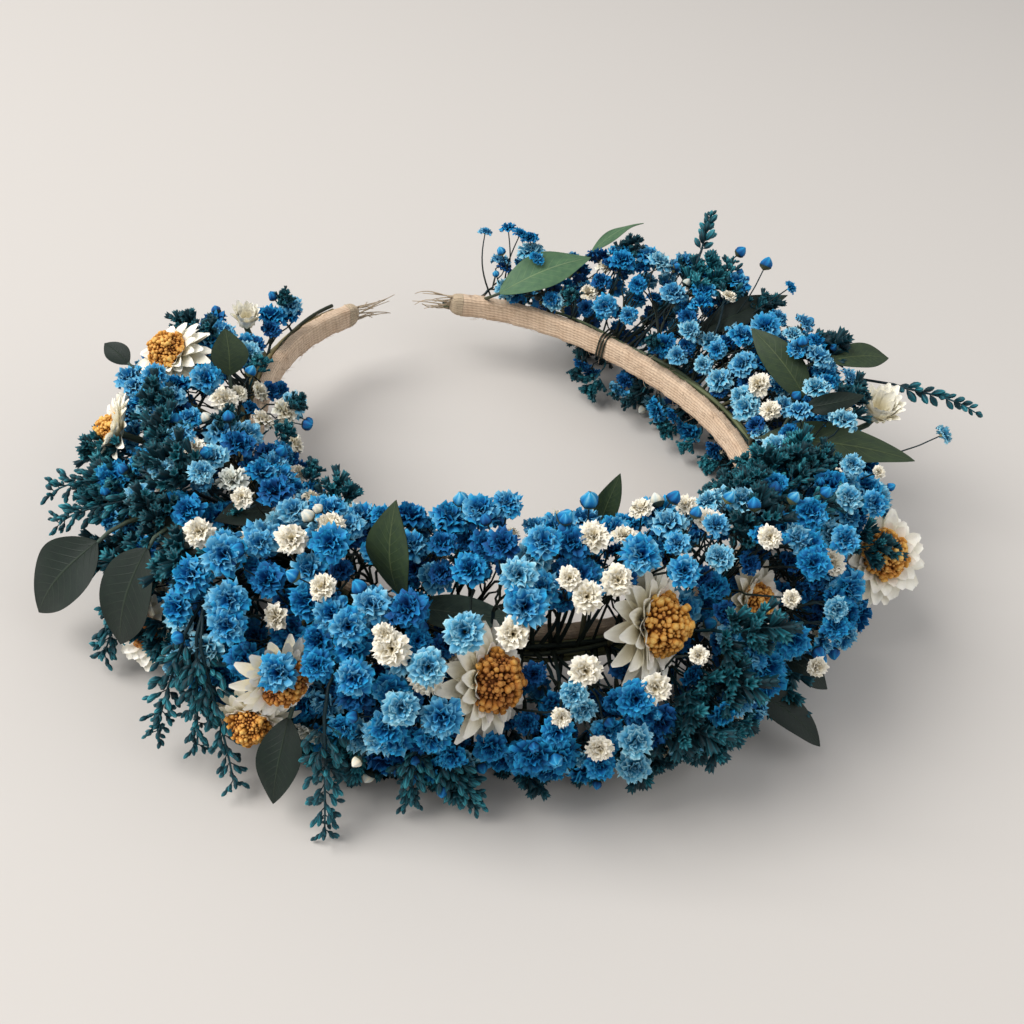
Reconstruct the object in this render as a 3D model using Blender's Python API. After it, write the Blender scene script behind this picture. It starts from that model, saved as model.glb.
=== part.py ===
"""Flower crown: a wrapped, open-ended headband with dried flowers bound along its outer side.

The crown lies flat on a table, as it does when it is not worn.
X runs from ear to ear, -Y is the front of the crown and +Y is the gap between the tips.
All sizes are in metres. Angles along the band are in degrees, 0 at the front
and growing towards +X, so the gap sits at 180.
"""

import math
import random

import bmesh
import bpy
from mathutils import Matrix, Vector

# Headband
BAND_RADIUS = 0.070
BAND_OVAL = 0.05
BAND_EGG = 0.03
BAND_HEIGHT = 0.022
BAND_WIDTH = 0.0066
BAND_THICKNESS = 0.0034
CORE_WIDTH = 0.0044
CORE_THICKNESS = 0.0012
SLEEVE_CLEARANCE = 0.0004
BAND_END_LEFT = -168.0
BAND_END_RIGHT = 162.0
BAND_STEP = 6.0
CORE_SHORTER = 1.0
CAP_SPREAD = 3.2
CAP_GAP = 0.5
# how far along each cap (of CAP_SPREAD) its three outlines are, and their size of the band's
CAP_OUTLINES = ((0.0, 1.0), (0.6, 0.92), (1.0, 0.55))

# Stem bundle and binding wire, on the outer side of the band
STEM_RADIUS = 0.0013
STEM_GAP = 0.0008
STEM_OFFSET = BAND_THICKNESS / 2 + STEM_GAP + STEM_RADIUS
STEM_SIDES = 6
STEM_START = -146.0
STEM_END = 154.0
STEM_STEP = 8.0
WIRE_RADIUS = 0.0005
WIRE_CLEARANCE = 0.0011
WIRE_CORNER = 0.22
WIRE_SIDES = 5
WIRE_ANGLES = (-94.0, 3.0, 123.0)
WIRE_OUT = STEM_OFFSET + STEM_RADIUS + WIRE_CLEARANCE
WIRE_UP = BAND_WIDTH / 2 + WIRE_CLEARANCE

# Garland: how far it reaches outwards and upwards at the front
GARLAND_OUT = 0.030
GARLAND_UP = 0.033
# angle, centre outwards, half depth (of GARLAND_OUT), half height (of GARLAND_UP)
GARLAND_SECTIONS = (
    (-155.0, 0.25, 0.25, 0.30),
    (-140.0, 0.40, 0.48, 0.42),
    (-122.0, 0.58, 0.70, 0.64),
    (-95.0, 0.62, 0.76, 0.70),
    (-65.0, 0.64, 0.86, 0.80),
    (-48.0, 0.50, 0.92, 0.93),
    (-30.0, 0.40, 0.94, 1.00),
    (10.0, 0.40, 0.84, 0.95),
    (50.0, 0.47, 0.68, 0.84),
    (90.0, 0.66, 0.68, 0.83),
    (125.0, 0.60, 0.58, 0.78),
    (146.0, 0.42, 0.40, 0.62),
    (162.0, 0.25, 0.22, 0.32),
)

# Bunches of small flowers: each fans out from the band, and starts clear of the wire
BUNCH_CLEARANCE = 0.0011
BUNCH_FOOT = math.hypot(WIRE_OUT, WIRE_UP * (1 - WIRE_CORNER)) + BUNCH_CLEARANCE
BUNCH_LEAST = 0.0070
BUNCH_SQUARENESS = 4.2
BUNCH_LUMP = 0.18
BUNCH_NARROW = 0.72
BUNCH_GAP_ALONG = 1.1
BUNCH_GAP_ROUND = 2.2
# For each row: its lowest and highest tilt (0 is outwards, 90 is up), the angles
# where one bunch ends and the next begins, and the kind of each bunch
BUNCH_ROWS = (
    ((46, 136), (-151, -123), ("blue",)),
    ((46, 150), (-123, -90, -55, -20, 15, 46), ("teal", "ivory", "blue", "blue", "teal")),
    ((46, 92), (46, 74, 103, 129, 154), ("blue", "blue", "teal", "blue")),
    (
        (-20, 42),
        (-139, -102, -70, -40, -10, 18, 50, 83, 116, 149),
        ("blue", "teal", "blue", "blue", "teal", "blue", "blue", "ivory", "blue"),
    ),
    (
        (-85, -20),
        (-128, -79, -34, 6, 45, 87, 132),
        ("ivory", "teal", "teal", "blue", "teal", "teal"),
    ),
)
BUNCH_COLOURS = {
    "blue": (0.016, 0.176, 0.533),
    "ivory": (0.808, 0.745, 0.604),
    "teal": (0.010, 0.098, 0.118),
}

# Stalks: every leaf, daisy and sprig grows from the stem bundle on one
STALK_RADIUS = 0.0006
STALK_ROOT = BUNCH_FOOT - 0.0007
STALK_STEPS = 4
STALK_BEND = 0.38

# Leaves: the angle of the root, base and tip as (angle, out of GARLAND_OUT,
# up of GARLAND_UP), width, and the way the blade faces as (along the band, outwards, up)
LEAF_THICKNESS = 0.0010
LEAF_CLEARANCE = 0.0008
LEAF_STEPS = 6
LEAF_BOW = 0.10
LEAF_FOLD = 0.12
LEAVES = (
    (-51.0, (-43.6, 0.50, 1.31), (-46.6, 0.42, 1.99), 0.0124, (-0.5, 0.8, 0.35)),
    (-88.0, (-84.0, 1.42, 0.88), (-86.0, 1.88, 0.26), 0.0150, (0.4, 0.7, 0.60)),
    (-80.0, (-75.5, 1.22, 1.14), (-75.5, 1.52, 0.44), 0.0140, (0.3, 0.9, 0.40)),
    (-46.0, (-51.4, 1.26, 0.66), (-50.0, 1.56, 0.16), 0.0092, (0.1, 0.95, 0.25)),
    (157.5, (153.6, -0.16, 0.93), (134.0, 0.58, 1.20), 0.0125, (-0.5, 0.1, 0.85)),
    (-41.0, (-43.0, 0.33, 1.08), (-26.8, 0.26, 1.06), 0.0075, (0.0, 0.8, 0.60)),
    (-14.0, (-9.6, -0.34, 1.42), (-8.8, -0.34, 1.86), 0.0056, (-0.5, 0.6, 0.60)),
    (9.5, (11.8, 0.83, 0.42), (16.3, 1.37, 0.13), 0.0090, (-0.2, 0.3, 0.93)),
    (64.0, (69.5, 0.46, 1.26), (84.0, 0.18, 1.60), 0.0105, (-0.6, -0.3, 0.75)),
    (57.0, (58.2, 0.20, 1.48), (59.4, 0.70, 1.64), 0.0056, (-0.8, -0.2, 0.55)),
    (87.0, (79.0, 0.95, 1.34), (79.0, 1.60, 1.36), 0.0085, (-0.4, 0.1, 0.90)),
    (107.0, (101.5, 0.25, 1.10), (97.5, 1.30, 1.40), 0.0080, (-0.3, -0.4, 0.85)),
    (71.0, (61.5, -0.02, 1.06), (56.0, 1.28, 1.16), 0.0110, (-0.6, -0.1, 0.80)),
    (-109.0, (-111.8, 0.22, 1.22), (-117.5, 0.28, 1.50), 0.0100, (0.5, -0.5, 0.70)),
)
LEAF_COLOUR = (0.018, 0.040, 0.026)
LEAF_PALE = (0.075, 0.150, 0.060)
PALE_LEAVES = (5, 6)

# Everlasting daisies: the angle of the root, the middle as (angle, out of GARLAND_OUT,
# up of GARLAND_UP), size, and the way the flower faces as (along the band, outwards, up)
DAISY_RADIUS = 0.0125
DAISY_CLEARANCE = 0.0008
DAISY_PETALS = 8
DAISY_STAR = 0.16
# radius and height of the outline from calyx to dome, and of the recess, of the daisy's radius
DAISY_OUTLINE = ((0.60, -0.10), (1.00, 0.18), (0.58, 0.22), (0.50, 0.50), (0.26, 0.66), (0.0, 0.70))
DAISY_STAR_RING = STALK_STEPS + 2
DAISY_FOOT = 0.40
DAISY_STALK_END = 0.50
RECESS_OUTLINE = ((0.20, -0.45), (0.66, -0.20), (1.04, 0.08), (1.16, 1.40), (0.0, 1.42))
RECESS_STALK_END = 0.55
RECESS_SIDES = 12
DAISIES = (
    (-9.0, (-8.4, 0.56, 1.27), 1.00, (0.55, 0.70, 0.50)),
    (-34.0, (-30.4, 0.80, 1.02), 0.94, (0.75, 0.40, 0.55)),
    (-54.0, (-52.8, 1.24, 0.96), 0.70, (0.90, 0.45, 0.10)),
    (-61.0, (-56.0, 1.29, 0.50), 0.68, (0.40, 0.90, -0.15)),
    (39.0, (39.6, 1.03, 0.92), 0.94, (-0.55, 0.40, 0.70)),
    (14.0, (10.4, 0.54, 1.15), 0.70, (0.15, 0.80, 0.55)),
    (76.0, (71.0, 1.30, 1.08), 0.74, (-0.30, -0.10, 0.95)),
    (-117.0, (-119.0, 0.74, 1.16), 0.78, (0.25, 0.50, 0.80)),
    (-141.0, (-140.0, 0.34, 1.00), 0.52, (0.20, -0.15, 0.95)),
    (-101.0, (-103.0, 1.12, 0.98), 0.74, (-0.05, 0.90, 0.45)),
    (-71.0, (-75.0, 1.27, 0.40), 0.64, (0.40, 0.80, 0.45)),
)
DAISY_COLOUR = (0.820, 0.740, 0.560)

# Two loose sprigs that stand out of the garland: root, base and tip as for the leaves
SPRIG_RADIUS = 0.0016
SPRIG_BEADS = 5
SPRIG_SIDES = 7
SPRIG_NECK = 0.55
SPRIG_TAPER = (1.15, 0.5)
SPRIGS = (
    (81.0, (76.0, 1.62, 1.18), (68.5, 2.16, 1.24)),
    (116.0, (113.0, 0.90, 1.56), (115.5, 1.22, 1.78)),
)

WRAP_COLOUR = (0.540, 0.375, 0.230)
CAP_COLOUR = (0.480, 0.330, 0.190)
CORE_COLOUR = (0.560, 0.560, 0.580)
STEM_COLOUR = (0.055, 0.085, 0.035)
WIRE_COLOUR = (0.120, 0.125, 0.110)


def band_radius(angle):
    """Distance from the crown's middle to the band at this angle."""
    turn = math.radians(angle)
    return BAND_RADIUS * (1 + BAND_OVAL * math.cos(2 * turn) - BAND_EGG * math.cos(3 * turn))


def at(angle, out, up):
    """The point this far outside the band's centreline and above the table."""
    turn = math.radians(angle)
    reach = band_radius(angle) + out
    return Vector((reach * math.sin(turn), -reach * math.cos(turn), up))


def placed(spot):
    """The point of an (angle, out, up) spot whose last two are parts of the garland's size."""
    angle, out, up = spot
    return at(angle, out * GARLAND_OUT, up * GARLAND_UP)


def facing(angle, way):
    """The unit direction of an (along, outwards, up) way at this angle."""
    turn = math.radians(angle)
    along = Vector((math.cos(turn), math.sin(turn), 0))
    outwards = Vector((math.sin(turn), -math.cos(turn), 0))
    return (along * way[0] + outwards * way[1] + Vector((0, 0, way[2]))).normalized()


def section(angle):
    """The garland's cross-section here: centre out, centre up, half depth and half height."""
    rows = GARLAND_SECTIONS
    angle = min(max(angle, rows[0][0]), rows[-1][0])
    for low, high in zip(rows, rows[1:]):
        if angle <= high[0]:
            part = (angle - low[0]) / (high[0] - low[0])
            out, deep, tall = (a + (b - a) * part for a, b in zip(low[1:], high[1:]))
            break
    half_up = tall * GARLAND_UP
    return out * GARLAND_OUT, max(half_up, BAND_HEIGHT), deep * GARLAND_OUT, half_up


def reach_to_surface(angle, tilt):
    """How far the garland reaches from the band's centre in the direction of this tilt."""
    out, up, deep, tall = section(angle)
    side = math.cos(math.radians(tilt))
    rise = math.sin(math.radians(tilt))
    x0 = -out / deep
    z0 = (BAND_HEIGHT - up) / tall
    dx = side / deep
    dz = rise / tall
    a = dx * dx + dz * dz
    b = 2 * (x0 * dx + z0 * dz)
    c = x0 * x0 + z0 * z0 - 1
    inside = b * b - 4 * a * c
    far = (-b + math.sqrt(inside)) / (2 * a) if inside > 0 else 0
    return max(far, BUNCH_FOOT + BUNCH_LEAST)


def paint(obj, colour, roughness, metallic=0.0):
    """Gives the object its own material."""
    material = bpy.data.materials.new(obj.name)
    material.use_nodes = True
    shader = material.node_tree.nodes["Principled BSDF"]
    shader.inputs["Base Color"].default_value = (*colour, 1)
    shader.inputs["Roughness"].default_value = roughness
    shader.inputs["Metallic"].default_value = metallic
    material.diffuse_color = (*colour, 1)
    obj.data.materials.append(material)


def store(shape, mesh, smooth=True):
    """Writes an edited shape into a mesh, with all its faces turned outwards."""
    bmesh.ops.recalc_face_normals(shape, faces=shape.faces)
    if shape.calc_volume(signed=True) < 0:
        bmesh.ops.reverse_faces(shape, faces=shape.faces)
    shape.to_mesh(mesh)
    shape.free()
    for face in mesh.polygons:
        face.use_smooth = smooth


def solid(name, points, faces, smooth=True):
    """Makes an object from points and faces, with all faces turned outwards."""
    shape = bmesh.new()
    verts = [shape.verts.new(p) for p in points]
    for face in faces:
        shape.faces.new([verts[i] for i in face])
    mesh = bpy.data.meshes.new(name)
    store(shape, mesh, smooth)
    obj = bpy.data.objects.new(name, mesh)
    bpy.context.collection.objects.link(obj)
    return obj


def tube_faces(rings, sides, closed_path=False):
    """Quads between rings of points, with end faces unless the path closes on itself."""
    faces = []
    for i in range(rings if closed_path else rings - 1):
        a = i * sides
        b = (i + 1) % rings * sides
        for j in range(sides):
            k = (j + 1) % sides
            faces.append((a + j, a + k, b + k, b + j))
    if not closed_path:
        faces.append(tuple(range(sides)))
        faces.append(tuple((rings - 1) * sides + j for j in range(sides)))
    return faces


def stations(start, end, step):
    """Evenly spaced angles from start to end, at most about a step apart."""
    count = max(2, round((end - start) / step))
    return [start + (end - start) * i / count for i in range(count + 1)]


def box_profile(thickness, width):
    """The four corners of the band's cross-section as (out, up) pairs."""
    half, tall = thickness / 2, width / 2
    return ((-half, -tall), (half, -tall), (half, tall), (-half, tall))


def swept(name, angles, profile, smooth=False):
    """A closed bar with one cross-section, bent along the band."""
    points = [at(a, o, BAND_HEIGHT + u) for a in angles for o, u in profile]
    return solid(name, points, tube_faces(len(angles), len(profile)), smooth)


def swept_sleeve(name, angles, outer, inner):
    """A hollow bar open at both ends, bent along the band."""
    points = []
    for angle in angles:
        points += [at(angle, o, BAND_HEIGHT + u) for o, u in outer]
        points += [at(angle, o, BAND_HEIGHT + u) for o, u in inner]
    side = len(outer)
    ring = 2 * side
    last = (len(angles) - 1) * ring
    faces = []
    for i in range(len(angles) - 1):
        a, b = i * ring, (i + 1) * ring
        for j in range(side):
            k = (j + 1) % side
            faces.append((a + j, a + k, b + k, b + j))
            faces.append((a + side + k, a + side + j, b + side + j, b + side + k))
    for j in range(side):
        k = (j + 1) % side
        faces.append((j, side + j, side + k, k))
        faces.append((last + j, last + k, last + side + k, last + side + j))
    return solid(name, points, faces, smooth=False)


def build_band():
    """The sprung core, the wrap round it and a cap on each tip."""
    angles = stations(BAND_END_LEFT, BAND_END_RIGHT, BAND_STEP)
    hollow = box_profile(CORE_THICKNESS + 2 * SLEEVE_CLEARANCE, CORE_WIDTH + 2 * SLEEVE_CLEARANCE)
    wrap = swept_sleeve("band_wrap", angles, box_profile(BAND_THICKNESS, BAND_WIDTH), hollow)
    paint(wrap, WRAP_COLOUR, 0.9)
    inner = stations(BAND_END_LEFT + CORE_SHORTER, BAND_END_RIGHT - CORE_SHORTER, BAND_STEP)
    core = swept("band_core", inner, box_profile(CORE_THICKNESS, CORE_WIDTH))
    paint(core, CORE_COLOUR, 0.35, 1.0)
    for name, end, way in (("left_tip_cap", BAND_END_LEFT, -1), ("right_tip_cap", BAND_END_RIGHT, 1)):
        points = []
        for part, size in CAP_OUTLINES:
            angle = end + way * (CAP_GAP + part * CAP_SPREAD)
            for out, up in box_profile(BAND_THICKNESS * size, BAND_WIDTH * size):
                points.append(at(angle, out, BAND_HEIGHT + up))
        paint(solid(name, points, tube_faces(3, 4), smooth=False), CAP_COLOUR, 0.95)


def build_stems():
    """The bundle of stems that the bunches grow from, on the band's outer face."""
    points = []
    for angle in stations(STEM_START, STEM_END, STEM_STEP):
        for j in range(STEM_SIDES):
            turn = math.tau * j / STEM_SIDES
            out = STEM_OFFSET + STEM_RADIUS * math.cos(turn)
            points.append(at(angle, out, BAND_HEIGHT + STEM_RADIUS * math.sin(turn)))
    rings = len(points) // STEM_SIDES
    paint(solid("stem_bundle", points, tube_faces(rings, STEM_SIDES)), STEM_COLOUR, 0.8)


def build_wire(number, angle):
    """One loop of binding wire round the band and the stems."""
    low = -BAND_THICKNESS / 2 - WIRE_CLEARANCE
    middle, deep = (low + WIRE_OUT) / 2, (WIRE_OUT - low) / 2
    path = []
    for x, z in ((1, -1), (1, 1), (-1, 1), (-1, -1)):
        near, far = (x, z * (1 - WIRE_CORNER)), (x * (1 - WIRE_CORNER), z)
        path += [near, far] if x * z > 0 else [far, near]
    points = []
    for i, (x, z) in enumerate(path):
        before, after = path[i - 1], path[(i + 1) % len(path)]
        run = Vector(((after[0] - before[0]) * deep, 0, (after[1] - before[1]) * WIRE_UP)).normalized()
        across = run.cross(Vector((0, 1, 0))).normalized()
        for j in range(WIRE_SIDES):
            turn = math.tau * j / WIRE_SIDES
            shift = across * (WIRE_RADIUS * math.cos(turn))
            along = WIRE_RADIUS * math.sin(turn)
            place = at(angle, middle + x * deep + shift.x, BAND_HEIGHT + z * WIRE_UP + shift.z)
            points.append(place + facing(angle, (1, 0, 0)) * along)
    loop = solid(f"binding_wire_{number:02d}", points, tube_faces(len(path), WIRE_SIDES, True))
    paint(loop, WIRE_COLOUR, 0.4, 0.9)


def build_bunch(name, kind, angles, tilts, seed):
    """A lumpy bunch of small flowers that fans out from the band to the garland's surface."""
    angle, half_angle = (angles[0] + angles[1]) / 2, (angles[1] - angles[0]) / 2
    tilt, half_tilt = (tilts[0] + tilts[1]) / 2, (tilts[1] - tilts[0]) / 2
    rng = random.Random(seed)
    waves = [(rng.uniform(2.5, 4.5), rng.uniform(2.5, 4.5), rng.uniform(0, 6)) for _ in range(3)]
    shape = bmesh.new()
    bmesh.ops.create_icosphere(shape, subdivisions=3, radius=1)
    power = BUNCH_SQUARENESS
    for vert in shape.verts:
        total = sum(abs(v) ** power for v in vert.co) ** (1 / power)
        a, b, c = vert.co / total
        rise = (c + 1) / 2
        spread = BUNCH_NARROW + (1 - BUNCH_NARROW) * rise
        here = angle + a * half_angle * spread
        lean = tilt + b * half_tilt
        lump = sum(0.5 + 0.5 * math.sin(p * a + q * b + r) for p, q, r in waves) / len(waves)
        far = reach_to_surface(here, lean)
        out_to = BUNCH_FOOT + (far - BUNCH_FOOT) * rise * (1 - BUNCH_LUMP * lump * rise)
        out = out_to * math.cos(math.radians(lean))
        up = BAND_HEIGHT + out_to * math.sin(math.radians(lean))
        vert.co = at(here, out, max(up, 0))
    mesh = bpy.data.meshes.new(name)
    store(shape, mesh)
    obj = bpy.data.objects.new(name, mesh)
    bpy.context.collection.objects.link(obj)
    paint(obj, BUNCH_COLOURS[kind], 0.85)
    return obj


def stalk_path(root, spot, end, way):
    """Points and directions of a stalk that leaves the stem bundle and arrives at end."""
    out, rise = spot[1] * GARLAND_OUT, spot[2] * GARLAND_UP - BAND_HEIGHT
    reach = math.hypot(out, rise)
    start = at(root, STALK_ROOT * out / reach, BAND_HEIGHT + STALK_ROOT * rise / reach)
    pull = (end - start).length * STALK_BEND
    first = start + (end - start).normalized() * pull
    second = end - way * pull
    points, ways = [], []
    for i in range(STALK_STEPS):
        t = i / STALK_STEPS
        u = 1 - t
        points.append(start * u**3 + first * (3 * u * u * t) + second * (3 * u * t * t) + end * t**3)
        run = (first - start) * (u * u) + (second - first) * (2 * u * t) + (end - second) * (t * t)
        ways.append(run.normalized())
    return points, ways


def carried(ways, side):
    """The side direction carried back along a path from its last way without twisting."""
    sides = [side]
    for i in range(len(ways) - 1, 0, -1):
        side = ways[i].rotation_difference(ways[i - 1]) @ side
        sides.insert(0, side)
    return sides


def ringed(name, points, ways, radii, sides, star=()):
    """A round shape along a path, pointed at both ends; star rings are drawn in between petals."""
    last = ways[-1]
    rims = carried(ways, last.orthogonal().normalized())
    corners = [points[0]]
    for i in range(1, len(points) - 1):
        across = ways[i].cross(rims[i])
        for j in range(sides):
            turn = math.tau * j / sides
            ray = radii[i] * (1 - DAISY_STAR * (j % 2)) if i in star else radii[i]
            corners.append(points[i] + (rims[i] * math.cos(turn) + across * math.sin(turn)) * ray)
    corners.append(points[-1])
    rings = len(points) - 2
    faces = []
    for j in range(sides):
        k = (j + 1) % sides
        faces.append((0, 1 + k, 1 + j))
        for i in range(rings - 1):
            a, b = 1 + i * sides, 1 + (i + 1) * sides
            faces.append((a + j, a + k, b + k, b + j))
        end = 1 + (rings - 1) * sides
        faces.append((end + j, end + k, len(corners) - 1))
    return solid(name, corners, faces)


def leaf_width(part):
    """How wide a leaf is at this part of its length, of its full width."""
    return math.sin(math.pi * part**0.8) ** 0.85 if 0 < part < 1 else 0


def leaf_solid(name, leaf, grow=0.0, lift=0.0):
    """A curved blade on its stalk, closed all round; grow and lift make the space it needs."""
    root, base, tip, width, way = leaf
    start, end = placed(base), placed(tip)
    run = (end - start).normalized()
    length = (end - start).length
    face = facing((base[0] + tip[0]) / 2, way)
    side = run.cross(face).normalized()
    face = side.cross(run).normalized()
    points, ways = stalk_path(root, base, start, run)
    halves = [STALK_RADIUS] * len(points)
    bows = [0.0] * len(points)
    for i in range(LEAF_STEPS + 1):
        part = i / LEAF_STEPS
        points.append(start + run * (part * (length + grow)))
        ways.append(run)
        halves.append(max(width / 2 * leaf_width(part), STALK_RADIUS))
        bows.append(LEAF_BOW * length * math.sin(math.pi * part))
    sides = carried(ways, side)
    columns = (-1.0, 0.0, 1.0)
    top, bottom = [], []
    for point, way_on, across, half, bow in zip(points, ways, sides, halves, bows):
        out = across.cross(way_on).normalized()
        blade = half > STALK_RADIUS
        for v in columns:
            fold = LEAF_FOLD * half * abs(v) if blade else 0
            middle = point + across * (v * (half + grow)) + out * (bow + fold)
            top.append(middle + out * (LEAF_THICKNESS / 2 + grow + (lift if blade else 0)))
            bottom.append(middle - out * (LEAF_THICKNESS / 2 + grow))
    count = len(columns)
    under = len(top)
    rows = under // count
    faces = []
    for i in range(rows - 1):
        for j in range(count - 1):
            a = i * count + j
            b = a + count
            faces.append((a, a + 1, b + 1, b))
            faces.append((under + a + 1, under + a, under + b, under + b + 1))
        for j in (0, count - 1):
            a, b = i * count + j, (i + 1) * count + j
            faces.append((a, b, under + b, under + a))
    for i in (0, rows - 1):
        for j in range(count - 1):
            a = i * count + j
            faces.append((a, a + 1, under + a + 1, under + a))
    return solid(name, top + bottom, faces)


def daisy_solid(name, daisy):
    """A ring of papery bracts with a domed centre on a bent stalk, in one piece."""
    root, spot, size, way = daisy
    r = DAISY_RADIUS * size
    axis = facing(spot[0], way)
    middle = placed(spot)
    points, ways = stalk_path(root, spot, middle - axis * (DAISY_STALK_END * r), axis)
    radii = [STALK_RADIUS] * len(points)
    for radius, height in ((STALK_RADIUS * 1.6 / r, -DAISY_FOOT), *DAISY_OUTLINE):
        points.append(middle + axis * (height * r))
        ways.append(axis)
        radii.append(radius * r)
    return ringed(name, points, ways, radii, 2 * DAISY_PETALS, star=(DAISY_STAR_RING,))


def daisy_space(name, daisy):
    """The recess that a daisy and its stalk sit in, open towards the way it faces."""
    root, spot, size, way = daisy
    r = DAISY_RADIUS * size
    gap = DAISY_CLEARANCE
    axis = facing(spot[0], way)
    middle = placed(spot)
    points, ways = stalk_path(root, spot, middle - axis * (RECESS_STALK_END * r), axis)
    points.insert(0, points[0] - ways[0] * gap)
    ways.insert(0, ways[0])
    radii = [STALK_RADIUS + gap] * len(points)
    for radius, height in RECESS_OUTLINE:
        points.append(middle + axis * (height * r))
        ways.append(axis)
        radii.append(radius * r + gap if radius else 0)
    return ringed(name, points, ways, radii, RECESS_SIDES)


def sprig_solid(name, sprig, grow=0.0):
    """A loose sprig whose buds are drawn as beads along one tapering stem."""
    root, base, tip = sprig
    start, end = placed(base), placed(tip)
    run = (end - start).normalized()
    length = (end - start).length
    points, ways = stalk_path(root, base, start, run)
    radii = [STALK_RADIUS + grow] * len(points)
    steps = 2 * SPRIG_BEADS
    for i in range(steps + 1):
        bead = 1.0 if i % 2 else SPRIG_NECK
        points.append(start + run * (length * i / steps))
        ways.append(run)
        radii.append(SPRIG_RADIUS * bead * (SPRIG_TAPER[0] - SPRIG_TAPER[1] * i / steps) + grow)
    points.append(end + run * (0.02 * length + grow))
    ways.append(run)
    radii.append(0)
    return ringed(name, points, ways, radii, SPRIG_SIDES)


def bounds_of(obj):
    """The lowest and highest corner of an object's points."""
    points = [v.co for v in obj.data.vertices]
    low = Vector(min(p[i] for p in points) for i in range(3))
    high = Vector(max(p[i] for p in points) for i in range(3))
    return low, high


def meet(a, b):
    """True if the boxes round two objects meet."""
    (low_a, high_a), (low_b, high_b) = bounds_of(a), bounds_of(b)
    return all(low_a[i] < high_b[i] and low_b[i] < high_a[i] for i in range(3))


def cut(obj, cutter):
    """Takes the cutter's space out of the object."""
    step = obj.modifiers.new("cut", "BOOLEAN")
    step.operation = "DIFFERENCE"
    step.solver = "EXACT"
    step.use_self = True
    step.object = cutter
    bpy.context.view_layer.update()
    graph = bpy.context.evaluated_depsgraph_get()
    mesh = bpy.data.meshes.new_from_object(obj.evaluated_get(graph))
    obj.modifiers.remove(step)
    obj.data = mesh


def keep_largest(obj):
    """Leaves only the largest connected body of an object, with its thin crumbs merged away."""
    shape = bmesh.new()
    shape.from_mesh(obj.data)
    bmesh.ops.remove_doubles(shape, verts=shape.verts, dist=0.00005)
    bmesh.ops.dissolve_degenerate(shape, edges=shape.edges, dist=0.00002)
    left = set(shape.verts)
    bodies = []
    while left:
        body, queue = set(), [left.pop()]
        while queue:
            vert = queue.pop()
            body.add(vert)
            for edge in vert.link_edges:
                other = edge.other_vert(vert)
                if other in left:
                    left.discard(other)
                    queue.append(other)
        bodies.append(body)
    bodies.sort(key=len, reverse=True)
    for body in bodies[1:]:
        bmesh.ops.delete(shape, geom=list(body), context="VERTS")
    bmesh.ops.triangulate(shape, faces=[f for f in shape.faces if len(f.verts) > 4])
    store(shape, obj.data)


def build_garland():
    """The bunches, and the leaves, daisies and sprigs that sit in their recesses."""
    spaces = []
    for i, leaf in enumerate(LEAVES, 1):
        colour = LEAF_PALE if i in PALE_LEAVES else LEAF_COLOUR
        paint(leaf_solid(f"leaf_{i:02d}", leaf), colour, 0.7)
        spaces.append(leaf_solid(f"leaf_space_{i:02d}", leaf, LEAF_CLEARANCE, leaf[3]))
    for i, daisy in enumerate(DAISIES, 1):
        paint(daisy_solid(f"daisy_{i:02d}", daisy), DAISY_COLOUR, 0.8)
        spaces.append(daisy_space(f"daisy_space_{i:02d}", daisy))
    for i, sprig in enumerate(SPRIGS, 1):
        paint(sprig_solid(f"teal_sprig_{i:02d}", sprig), BUNCH_COLOURS["teal"], 0.8)
        spaces.append(sprig_solid(f"sprig_space_{i:02d}", sprig, LEAF_CLEARANCE))
    counts = {}
    for (low, high), edges, kinds in BUNCH_ROWS:
        tilts = (low + BUNCH_GAP_ROUND, high - BUNCH_GAP_ROUND)
        for start, end, kind in zip(edges, edges[1:], kinds, strict=False):
            counts[kind] = counts.get(kind, 0) + 1
            name = f"{kind}_bunch_{counts[kind]:02d}"
            angles = (start + BUNCH_GAP_ALONG, end - BUNCH_GAP_ALONG)
            bunch = build_bunch(name, kind, angles, tilts, seed=sum(counts.values()))
            for space in spaces:
                if meet(bunch, space):
                    cut(bunch, space)
            keep_largest(bunch)
    for space in spaces:
        bpy.data.objects.remove(space)


def stand_on_table():
    """Moves the whole crown so that the middle of its base is the origin."""
    objects = [o for o in bpy.data.objects if o.type == "MESH"]
    corners = [corner for o in objects for corner in bounds_of(o)]
    low = Vector(min(c[i] for c in corners) for i in range(3))
    high = Vector(max(c[i] for c in corners) for i in range(3))
    shift = Matrix.Translation((-(low.x + high.x) / 2, -(low.y + high.y) / 2, -low.z))
    for obj in objects:
        obj.data.transform(shift)


def main():
    """Builds the crown."""
    for obj in list(bpy.data.objects):
        bpy.data.objects.remove(obj)
    build_band()
    build_stems()
    for number, angle in enumerate(WIRE_ANGLES, 1):
        build_wire(number, angle)
    build_garland()
    stand_on_table()


main()
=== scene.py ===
"""Flower crown: the petals, leaves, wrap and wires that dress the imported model.

Lengths are in metres unless a name ends in _mm. Angles along the band are in degrees,
0 at the front and growing towards +X, so the gap between the tips sits at 180.
A tilt is the direction seen in the garland's cross-section: 0 is outwards, 90 is up.
"""

import logging
import math
from collections.abc import Sequence
from dataclasses import dataclass, field, replace
from enum import Enum
import bpy
import numpy as np
from mathutils import Matrix, Vector


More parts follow.
